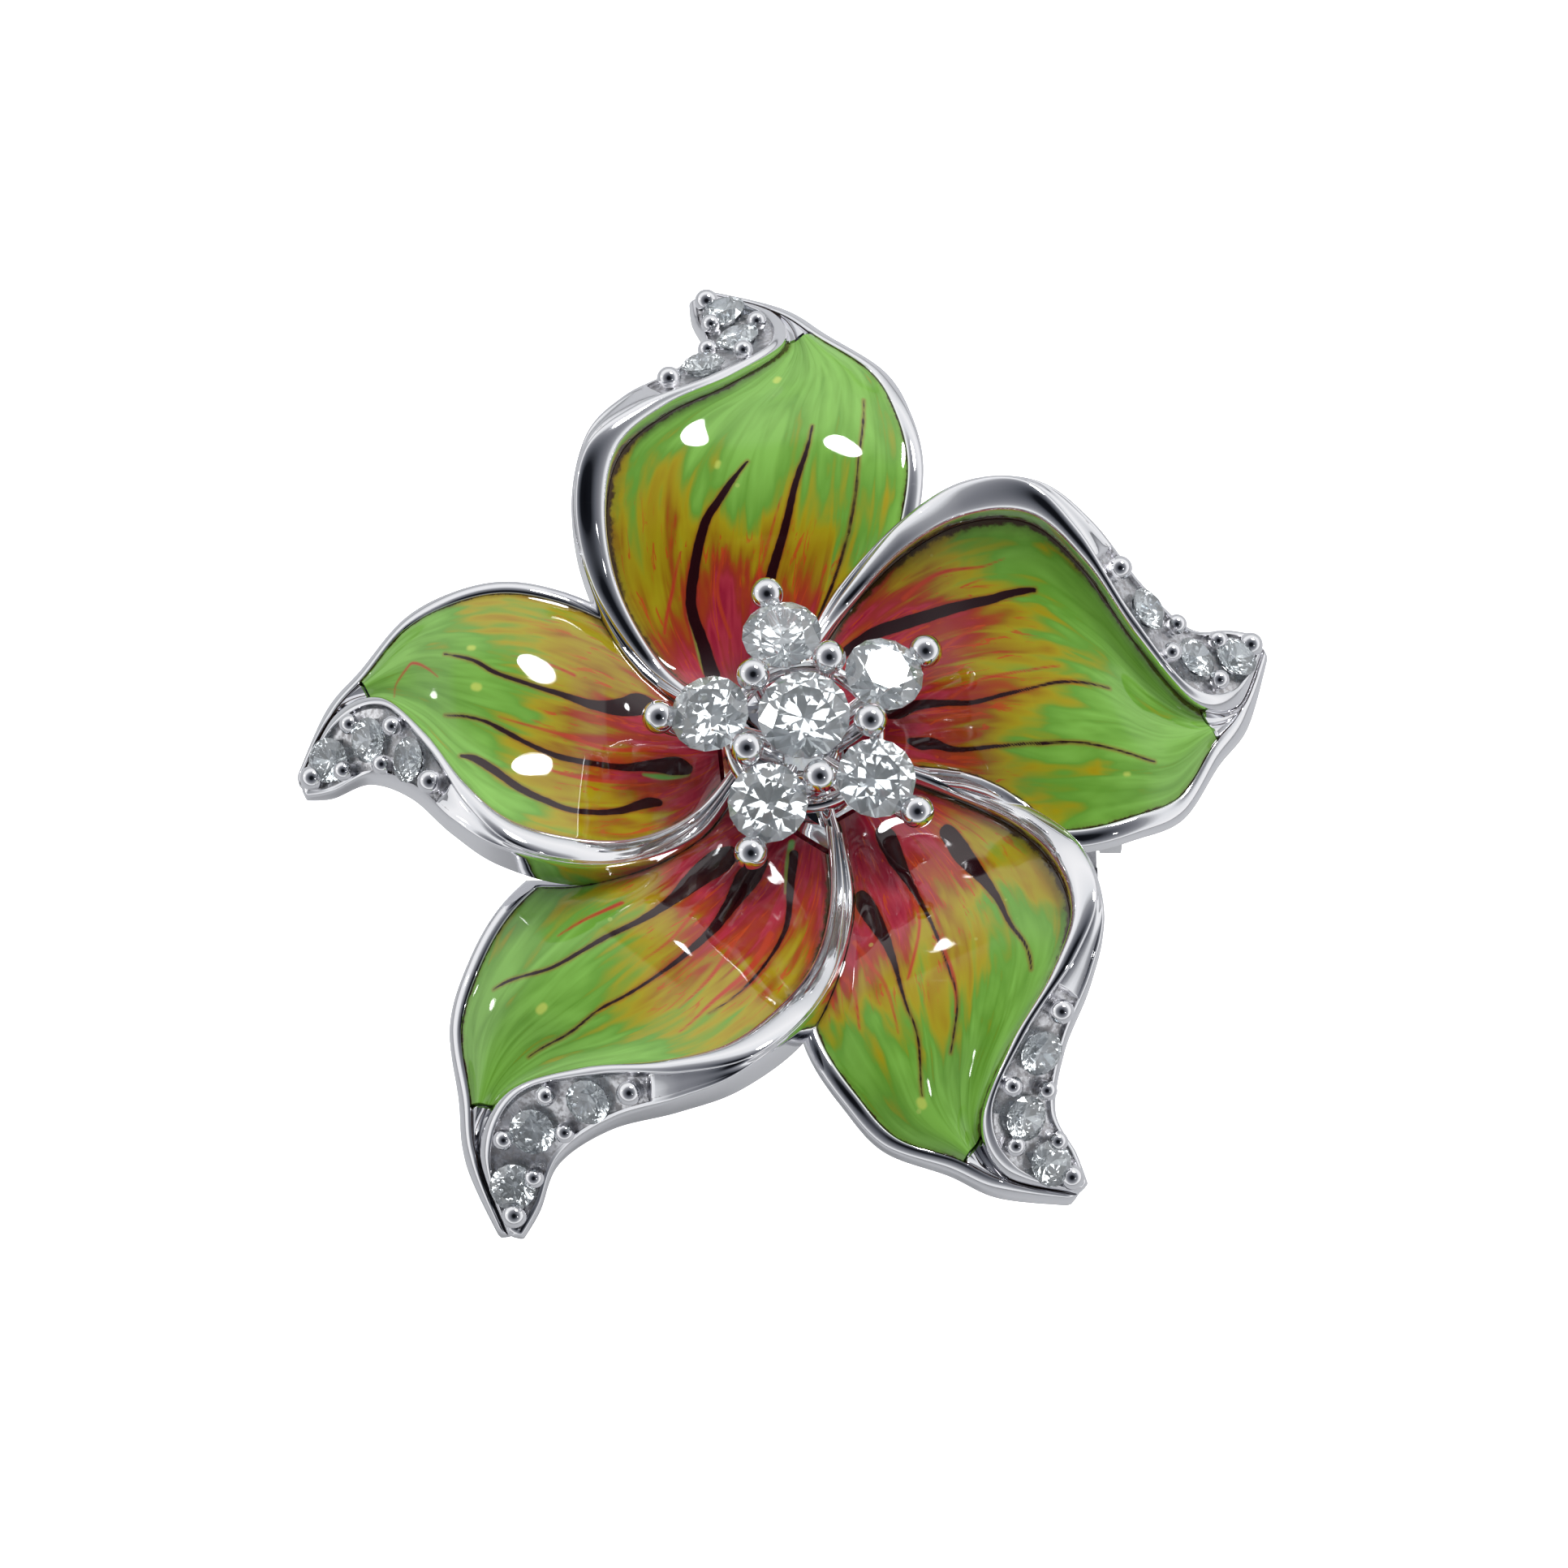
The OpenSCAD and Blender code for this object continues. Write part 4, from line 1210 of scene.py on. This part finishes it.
    def enamel(self, glaze: bpy.types.Material) -> None:
        """Builds the enamel, with what is drawn in it stored on its points."""
        f = self.form
        u = np.linspace(0, 1, self.enamel_along)
        t = f.enamel_from + (f.enamel_to - f.enamel_from) * u
        c = f.cut(t)
        wide = np.linalg.norm(f.bed(c, 1.0) - f.bed(c, 0.0), axis=-1)
        top = []
        across = np.linspace(0, 1, self.enamel_across)
        for v in across:
            rise = 0.05 * np.exp(-np.minimum(v, 1 - v) * wide / 0.12)
            top.append(f.bed(c, v) + c.e * (0.015 * (1 - 2 * v)) + UP * rise[:, None])
        below = np.linspace(1, 0, 9)
        for v in below:
            top.append(f.bed(c, v) + c.e * (0.015 * (1 - 2 * v)) - UP * (f.enamel_t - 0.015))
        rings = f.placed(np.stack(top, 1))
        piece = Builder.mesh(f"enamel_{self.number}", *Builder.skin(rings), smooth=50)
        share = f.share(t)
        place_u = np.repeat(u, rings.shape[1])
        place_v = (share[:, None] * np.concatenate([across, below])[None]).ravel()
        layer = piece.data.uv_layers.new(name="petal")
        corner = np.zeros(len(piece.data.loops), np.int32)
        piece.data.loops.foreach_get("vertex_index", corner)
        layer.data.foreach_set("uv", np.stack([place_u[corner], place_v[corner]], -1).astype(np.float32).ravel())
        colouring = COLOURINGS[f.k]
        Builder.attribute(piece, "warmth", colouring.heat(place_u, place_v))
        points = rings.reshape(-1, 3)
        rows = np.concatenate([across, below])[None]
        # Distance from the enamel's edges, doubled and with 0.1 mm added at the trailing edge, so the painted shade
        # along the edges runs widest beside the leading rim.
        Builder.attribute(piece, "border", np.minimum(rows * wide[:, None], (1 - rows) * wide[:, None] * 2.0 + 0.1))
        for paint in Paint:
            best = np.full(len(points), 9.0)
            for stroke in colouring.strokes:
                if stroke.paint is paint:
                    best = np.minimum(best, stroke.distance(f, points))
            Builder.attribute(piece, paint.value, best)
        place(piece, Body.FLOWER, glaze, [f"petal_enamel_{self.number}"])

    def _stone_places(self) -> tuple[np.ndarray, np.ndarray]:
        """Middle and direction of each stone."""
        t = np.array(self.stones_at)
        up = self.form.flange_up(t)
        return self.form.placed(self.form.flange(t, 0.0)) + up * self.stone_lift, up

    def stones(self, glass: bpy.types.Material) -> None:
        """Builds the three stones of the tip."""
        at, up = self._stone_places()
        cuts = [Brilliant(self.stone_r).cut(p, n, 17.0 * i + 11.0 * self.number) for i, (p, n) in enumerate(zip(at, up))]
        piece = Builder.mesh(f"tip_stones_{self.number}", *Builder.merged(cuts), smooth=None)
        place(piece, Body.FLOWER, glass, [f"petal_stones_{self.number}"])

    def claws(self, metal: bpy.types.Material) -> None:
        """Builds the claws round them."""
        t = np.array([at for at, _ in self.beads_at])
        up = self.form.flange_up(t)
        middle = np.vstack([self.form.placed(self.form.flange(np.array([at]), side * self.bead_side)) for at, side in self.beads_at])
        size = np.array([1.0 if side else 1.2 for _, side in self.beads_at])
        piece = BeadPlan(self.bead_r, 0.5).build(f"tip_claws_{self.number}", middle + up * self.bead_lift, up, size, metal)
        place(piece, Body.FLOWER, metal, [f"petal_claws_{self.number}"])


@dataclass
class Cluster:
    """The raised middle: a centre stone, five stones round it, their claws, and the gallery they stand on.

    Attributes:
        flower_z: Height of the petal plane.
        start: Angle of the first outer stone, in degrees.
        centre_r: Radius of the centre stone.
        ring_r: Radius of each outer stone.
        ring_at: Distance of the outer stones from the axis.
        ring_tilt: Their outward tilt, in degrees.
        wire_r: Radius of the claw wires.
        ball_r: Radius of the claw balls.
        post_r: Radius of the post.
    """

    flower_z: float = 5.6
    start: float = 103.6
    centre_r: float = 1.5
    ring_r: float = 1.3
    ring_at: float = 3.05
    ring_tilt: float = 14.0
    wire_r: float = 0.27
    ball_r: float = 0.55
    post_r: float = 1.25

    def _turned(self, points: Sequence[Sequence[float]], angle: float) -> np.ndarray:
        """Points turned about the flower's axis, with heights above the petal plane."""
        a = math.radians(angle)
        p = np.array(points, float)
        return np.stack([p[:, 0] * math.cos(a) - p[:, 1] * math.sin(a), p[:, 0] * math.sin(a) + p[:, 1] * math.cos(a), p[:, 2] + self.flower_z], -1)

    def _angle(self, k: int) -> float:
        """Angle of outer stone k."""
        return self.start - 72 * k

    def stones(self, glass: bpy.types.Material) -> None:
        """Builds the six stones."""
        centre = Brilliant(self.centre_r).cut(np.array([0, 0, self.flower_z + 3.5]), UP, 8.0)
        place(Builder.mesh("middle_stone", *centre, smooth=None), Body.FLOWER, glass, ["centre_stone"])
        lean = math.radians(self.ring_tilt)
        for k in range(5):
            at = self._turned([[self.ring_at, 0, 3.0]], self._angle(k))[0]
            axis = self._turned([[math.sin(lean), 0, math.cos(lean) - self.flower_z]], self._angle(k))[0]
            cut = Brilliant(self.ring_r).cut(at, axis, 30.0 + 19.0 * k)
            place(Builder.mesh(f"round_stone_{k + 1}", *cut, smooth=None), Body.FLOWER, glass, [f"ring_stone_{k + 1}"])

    def claws(self, metal: bpy.types.Material) -> None:
        """Builds the inner and the outer claws."""
        plan = WirePlan(self.wire_r, self.ball_r)
        inner = [self._turned([[self.post_r - 0.25, 0, 0.7], [1.6, 0, 2.1], [2.15, 0, 3.5]], self._angle(k) - 36) for k in range(5)]
        place(plan.build("inner_claw_wires", inner, metal), Body.FLOWER, metal, ["inner_claws"])
        bend = along(np.array([[2.3, 0, 1.55], [3.2, 0, 1.58], [4.1, 0, 1.6], [4.45, 0, 1.85], [4.62, 0, 2.2], [4.7, 0, 2.6]]), np.linspace(0, 1, 14))
        outer = [self._turned(bend, self._angle(k) + 1.2) for k in range(5)]
        place(plan.build("outer_claw_wires", outer, metal), Body.FLOWER, metal, ["outer_claws"])

    def gallery(self, metal: bpy.types.Material) -> None:
        """Builds the ring that the outer claws stand on, with its spokes."""
        a, b = np.arange(96) * 2 * np.pi / 96, np.arange(24) * 2 * np.pi / 24
        r = 2.4 + 0.26 * np.cos(b)[None]
        ring = np.stack([r * np.cos(a)[:, None], r * np.sin(a)[:, None], np.broadcast_to(0.26 * np.sin(b)[None], (96, 24)) + self.flower_z + 1.55], -1)
        points, faces = Builder.skin(np.concatenate([ring, ring[:1]]), caps=False)
        faces = [[i % (96 * 24) for i in f] for f in faces]
        parts = [(points[: 96 * 24], faces)]
        for k in range(5):
            rod, rod_faces = Builder.lathe([(0, 0.26), (1.59, 0.26)], (0, 0, 0), "z", 24)
            way = unit(np.array([1.4, 0, 0.75]))
            side = np.array([0.0, 1.0, 0.0])
            rod = rod @ np.stack([side, np.cross(way, side), way]) + [self.post_r - 0.25, 0, 0.8]
            parts.append((self._turned(rod, self._angle(k)), rod_faces))
        place(Builder.mesh("gallery_wire", *Builder.merged(parts), smooth=40), Body.FLOWER, metal, ["gallery_ring"])

    def hub(self, metal: bpy.types.Material) -> None:
        """Builds the turned hub that joins the petals to the bar."""
        z, r = self.flower_z, self.post_r
        profile = [
            (3.3, 0.02), (3.3, 3.62), (3.33, 3.72), (3.42, 3.84), (3.56, 3.96), (3.66, 4.0), (z - 1.1, 4.0), (z - 1.0, 3.97), (z - 0.74, 3.64),
            (z - 0.68, 3.5), (z - 0.42, r + 0.06), (z - 0.36, r), (z + 0.76, r), (z + 0.84, r - 0.03), (z + 0.97, r - 0.17), (z + 1.0, r - 0.25), (z + 1.0, 0.02),
        ]
        place(Builder.mesh("hub", *Builder.lathe(profile, (0, 0, 0), "z", 96), smooth=50), Body.FLOWER, metal, ["flower_hub"])


@dataclass
class Fitting:
    """The pin fitting behind the flower: bar, hinge, stem and a catch with a turning roller.

    Attributes:
        bar_l: Length of the bar.
        bar_w: Width of the bar.
        bar_t: Thickness of the bar.
        bar_z: Height of its rear face.
        at: Distance of the hinge and of the catch from the middle.
        stem_r: Radius of the stem.
        rivet_r: Radius of the rivet.
        gap: Radial clearance of the moving parts.
    """

    bar_l: float = 22.0
    bar_w: float = 4.0
    bar_t: float = 0.9
    bar_z: float = 2.4
    at: float = 9.5
    stem_r: float = 0.45
    rivet_r: float = 0.5
    gap: float = 0.05

    ear_in: float = 0.72
    ear_t: float = 0.6
    ear_r: float = 1.2
    eye_r: float = 1.1
    cheek_r: float = 1.5
    cheek_t: float = 0.7
    roller_t: float = 0.9
    roller_r: float = 1.3
    boss_r: float = 0.85
    slot: float = 1.12

    def _disc(self, name: str, r: float, hole: float, thick: float, across: str, middle: Sequence[float]) -> bpy.types.Object:
        """A flat ring.

        Args:
            name: Its name.
            r: Its radius.
            hole: Radius of the hole through it, or 0 for none.
            thick: Its thickness.
            across: The axis of the hole.
            middle: Its middle.

        Returns:
            The piece.
        """
        half = thick / 2
        if hole:
            rows = [(-half, hole), (-half, r), (half, r), (half, hole), (-half, hole)]
            points, faces = Builder.lathe(rows, middle, across, 80)
            m = 80
            faces = [[i % (4 * m) for i in f] for f in faces if len(f) == 4]
            return Builder.mesh(name, points[: 4 * m], faces, smooth=None)
        return Builder.mesh(name, *Builder.lathe([(-half, 0.001), (-half, r), (half, r), (half, 0.001)], middle, across, 80), smooth=None)

    def _box(self, name: str, low: Sequence[float], high: Sequence[float]) -> bpy.types.Object:
        """A block between two corners."""
        x, y, z = zip(low, high)
        points = np.array([[i, j, k] for i in x for j in y for k in z])
        return Builder.mesh(name, points, [[0, 1, 3, 2], [4, 6, 7, 5], [0, 4, 5, 1], [2, 3, 7, 6], [0, 2, 6, 4], [1, 5, 7, 3]], smooth=None)

    def _plate(self, name: str, rim: np.ndarray, low: float, high: float) -> bpy.types.Object:
        """A flat piece with an outline in X and Z, between two values of Y."""
        rings = np.stack([np.stack([rim[:, 0], np.full(len(rim), y), rim[:, 1]], -1) for y in (low, high)])
        return Builder.mesh(name, *Builder.skin(rings), smooth=None)

    def _joined(self, piece: bpy.types.Object, others: Sequence[bpy.types.Object], operation: str = "UNION") -> bpy.types.Object:
        """Joins other pieces to a piece, or cuts them from it, and removes them."""
        for other in others:
            mod = piece.modifiers.new("join", "BOOLEAN")
            mod.operation = operation
            mod.solver = "EXACT"
            mod.object = other
            Builder.apply(piece)
            bpy.data.objects.remove(other)
        return piece

    def bar(self, metal: bpy.types.Material) -> None:
        """Builds the bar behind the flower, with rounded ends and edges."""
        half, r = self.bar_l / 2 - self.bar_w / 2, self.bar_w / 2
        turn = np.radians(np.linspace(-90, 90, 33))
        rim = np.vstack([np.stack([half + r * np.cos(turn), r * np.sin(turn)], -1), np.stack([-half - r * np.cos(turn), -r * np.sin(turn)], -1)])
        rings = np.stack([np.column_stack([rim, np.full(len(rim), z)]) for z in (self.bar_z, self.bar_z + self.bar_t)])
        piece = Builder.mesh("back_bar", *Builder.skin(rings), smooth=None)
        Builder.bevel(piece, 0.16, 4, 50)
        place(piece, Body.FLOWER, metal, ["pin_bar"])

    def hinge(self, metal: bpy.types.Material) -> None:
        """Builds the two ears of the hinge on their foot, and the rivet through them."""
        width, x, foot = 2 * (self.ear_in + self.ear_t), -self.at, 1.5
        inset = 0.03
        piece = self._box("hinge_ears", (x - self.ear_r + inset, -width / 2 + inset, foot), (x + self.ear_r - inset, width / 2 - inset, self.bar_z))
        turn = np.radians(np.linspace(180, 360, 41))
        top = self.bar_z - 0.01
        corners = np.array([[x + self.ear_r, top], [x - self.ear_r, top]])
        rim = np.vstack([np.stack([x + self.ear_r * np.cos(turn), self.ear_r * np.sin(turn)], -1), corners])
        outer = self.ear_in + self.ear_t
        ears = [self._plate("ear", rim, low, high) for low, high in ((self.ear_in, outer), (-outer, -self.ear_in))]
        self._joined(piece, ears)
        self._joined(piece, [self._disc("bore", self.rivet_r, 0, 2 * width, "y", (x, 0, 0))], "DIFFERENCE")
        Builder.bevel(piece, 0.08, 3, 45)
        place(piece, Body.FLOWER, metal, ["hinge_bracket"])
        half, r = self.ear_in + self.ear_t, self.rivet_r
        head = [(half + 0.01, r), (half + 0.01, r + 0.22), (half + 0.05, r + 0.25), (half + 0.1, r + 0.24), (half + 0.17, r + 0.14), (half + 0.22, r - 0.1), (half + 0.24, 0.01)]
        rows = [(-y, w) for y, w in head[::-1]] + head
        place(Builder.mesh("rivet", *Builder.lathe(rows, (x, 0, 0), "y", 48), smooth=50), Body.FLOWER, metal, ["hinge_rivet"])

    def stem(self, metal: bpy.types.Material) -> None:
        """Builds the pin stem: its eye, its collar, the wire and the ground point."""
        eye = self._disc("pin_wire", self.eye_r, self.rivet_r + self.gap, 2 * self.ear_in - 0.12, "y", (-self.at, 0, 0))
        Builder.bevel(eye, 0.1, 3, 50)
        r = self.stem_r
        rows = [(-self.at + 0.78, 0.01), (-self.at + 0.8, 0.6), (-8.1, 0.62), (-8.03, 0.59), (-7.99, r + 0.02), (-7.9, r), (7.9, r), (8.2, r * 0.97), (10.0, r * 0.55), (11.6, 0.09), (11.9, 0.04), (12.0, 0.01)]
        wire = Builder.mesh("wire", *Builder.lathe(rows, (0, 0, 0), "x", 48), smooth=None)
        piece = self._joined(eye, [wire])
        Builder.soften(piece, 40)
        place(piece, Body.STEM, metal, ["pin_stem"])

    def catch(self, metal: bpy.types.Material) -> None:
        """Builds the catch: two open cheeks on a saddle, and the roller that closes them."""
        x, long = self.at, self.roller_t + 0.12 + 2 * self.cheek_t
        off = self.roller_t / 2 + 0.06 + self.cheek_t / 2
        body = self._disc("catch_cheeks", self.cheek_r, self.boss_r + self.gap, self.cheek_t, "x", (x - off, 0, 0))
        self._joined(body, [self._disc("cheek", self.cheek_r, self.boss_r + self.gap, self.cheek_t, "x", (x + off, 0, 0))])
        self._joined(body, [self._box("throat", (x - long, -self.slot / 2, -3), (x + long, self.slot / 2, 0))], "DIFFERENCE")
        self._joined(body, [self._box("saddle", (x - long / 2, -1, 1.42), (x + long / 2, 1, self.bar_z))])
        Builder.bevel(body, 0.08, 3, 45)
        place(body, Body.FLOWER, metal, ["catch_body"])
        hole = 0.56
        roller = self._disc("catch_turner", self.boss_r, hole, long, "x", (x, 0, 0))
        self._joined(roller, [self._disc("middle", self.roller_r, hole + 0.05, self.roller_t, "x", (x, 0, 0))])
        self._joined(roller, [self._box("slot", (x - long, -self.slot / 2, -3), (x + long, self.slot / 2, 0))], "DIFFERENCE")
        self._joined(roller, [self._box("lever", (x - 0.35, -2.5, -0.25), (x + 0.35, -1.0, 0.25)), self._disc("thumb", 0.4, 0, 0.76, "x", (x, -2.5, 0))])
        Builder.bevel(roller, 0.05, 3, 45)
        place(roller, Body.ROLLER, metal, ["catch_roller"])

    def build(self, metal: bpy.types.Material) -> None:
        """Builds the whole fitting."""
        self.bar(metal)
        self.hinge(metal)
        self.stem(metal)
        self.catch(metal)


@dataclass
class Studio:
    """Camera, floor, sky and lamps.

    Attributes:
        flower_z: Height of the petal plane, in millimetres.
        floor_z: Height of the floor.
    """

    flower_z: float = 5.6
    floor_z: float = -24.0

    def camera(self) -> None:
        """Sets up the camera."""
        data = bpy.data.cameras.new("camera")
        data.sensor_width = 36
        data.lens = 126.1
        data.clip_start = 0.005
        data.clip_end = 5
        camera = bpy.data.objects.new("camera", data)
        camera.location = (-0.642 * MM, -61.52 * MM, (169.17 + self.flower_z) * MM)
        camera.rotation_euler = (0.343, 0, 0)
        bpy.context.scene.collection.objects.link(camera)
        bpy.context.scene.camera = camera

    def floor(self) -> None:
        """Lays a plain white floor that glows a little, as a lit table does."""
        half = 900.0
        z = self.floor_z
        points = np.array([[-half, -half, z], [half, -half, z], [half, half, z], [-half, half, z]])
        data = bpy.data.meshes.new("floor")
        data.from_pydata((points * MM).tolist(), [], [[0, 1, 2, 3]])
        piece = bpy.data.objects.new("floor", data)
        bpy.context.scene.collection.objects.link(piece)
        material = bpy.data.materials.new("white_table")
        material.use_nodes = True
        sheet = Sheet(material.node_tree)
        shader = sheet.add("ShaderNodeBsdfPrincipled", {"Base Color": tint(252, 252, 252), "Roughness": 0.8, "Emission Color": tint(255, 255, 255), "Emission Strength": 0.9})
        dim = sheet.add("ShaderNodeBsdfDiffuse", {"Color": tint(186, 187, 189)})
        path = sheet.add("ShaderNodeLightPath").outputs["Is Camera Ray"]
        lit = sheet.add("ShaderNodeMixShader", {0: path, 1: dim, 2: shader})
        under = sheet.add("ShaderNodeNewGeometry").outputs["Backfacing"]
        gone = sheet.add("ShaderNodeMixShader", {0: under, 1: lit, 2: sheet.add("ShaderNodeBsdfTransparent")})
        sheet.add("ShaderNodeOutputMaterial", {"Surface": gone})
        data.materials.append(material)

    def sky(self) -> None:
        """Surrounds the object with white, with a dark opening where the lens looks in."""
        world = bpy.data.worlds.new("studio")
        bpy.context.scene.world = world
        world.use_nodes = True
        s = Sheet(world.node_tree)
        way = s.add("ShaderNodeTexCoord").outputs["Generated"]

        def facing(x: float, y: float, z: float) -> bpy.types.NodeSocket:
            """How nearly the ray runs towards a direction, as a cosine."""
            d = Vector((x, y, z)).normalized()
            node = s.add("ShaderNodeVectorMath", {0: way, 1: tuple(d)}, operation="DOT_PRODUCT")
            return node.outputs["Value"]

        near = facing(0.0, -0.336, 0.942)
        seen = s.ramp(s.math("MULTIPLY", s.math("ARCCOSINE", near), 1 / math.pi), (
            (0.0, tint(14, 15, 19)), (0.09, tint(22, 24, 29)), (0.15, tint(84, 87, 94)), (0.24, tint(128, 130, 136)),
            (0.30, tint(158, 160, 164)), (0.36, tint(236, 238, 240)), (0.46, tint(255, 255, 255)), (0.56, tint(226, 228, 230)),
            (0.66, tint(120, 122, 126)), (0.8, tint(190, 192, 196)), (1.0, tint(150, 152, 156)),
        ))
        path = s.add("ShaderNodeLightPath").outputs["Is Camera Ray"]
        s.add("ShaderNodeOutputWorld", {"Surface": s.add("ShaderNodeBackground", {"Color": s.mix(path, seen, (1, 1, 1, 1)), "Strength": 1.0})})

    def lamp(self, name: str, azimuth: float, elevation: float, size: tuple[float, float], radiance: float, far: float = 400.0, shiny: bool = True) -> None:
        """Adds a soft box.

        Args:
            name: Its name.
            azimuth: Its direction from the flower, in degrees from +X.
            elevation: Its height, in degrees.
            size: Its width and height, in millimetres.
            radiance: How bright its face is.
            far: Its distance, in millimetres.
            shiny: Whether it shows in reflections.
        """
        data = bpy.data.lights.new(name, "AREA")
        data.shape = "ELLIPSE"
        data.size, data.size_y = size[0] * MM, size[1] * MM
        data.energy = radiance * math.pi * data.size * data.size_y
        a, e = math.radians(azimuth), math.radians(elevation)
        way = Vector((math.cos(e) * math.cos(a), math.cos(e) * math.sin(a), math.sin(e)))
        lamp = bpy.data.objects.new(name, data)
        lamp.location = way * far * MM + Vector((0, 0, self.flower_z * MM))
        lamp.rotation_euler = way.to_track_quat("Z", "Y").to_euler()
        lamp.visible_glossy = shiny
        lamp.visible_camera = False
        bpy.context.scene.collection.objects.link(lamp)

    def build(self) -> None:
        """Builds the whole studio."""
        self.camera()
        self.floor()
        self.sky()
        self.lamp("main_box", 62, 51, (130, 84), 22)
        self.lamp("side_box", -40, 48, (14, 24), 14)
        self.lamp("left_box", 168, 20, (26, 26), 14)
        self.lamp("top_fill", 60, 80, (300, 300), 2.7, shiny=False)
        scene = bpy.context.scene
        scene.view_settings.view_transform = "Standard"


def main() -> None:
    """Builds every piece in order."""
    logging.basicConfig(level=logging.INFO, format="%(message)s")
    Studio().build()
    effects = Effects()
    worked = Silver("cast_silver", worked=True).make(effects)
    bright = Silver("bright_silver", shine=0.04, grime=0.5, waves=0.006).make(effects)
    fitted = Silver("fitting_silver", tint(226, 226, 228), 0.12, 0.8, 0.004).make(effects)
    glass = CutStone().make(effects)
    for k in range(5):
        petal = Petal(PetalForm(k))
        petal.casting(worked)
        petal.enamel(Enamel(f"enamel_{k + 1}", seed=3.7 * k).make(effects))
        petal.stones(glass)
        petal.claws(bright)
    cluster = Cluster()
    cluster.hub(bright)
    cluster.gallery(bright)
    cluster.claws(bright)
    cluster.stones(glass)
    Fitting().build(fitted)


if __name__ == "__main__":
    main()
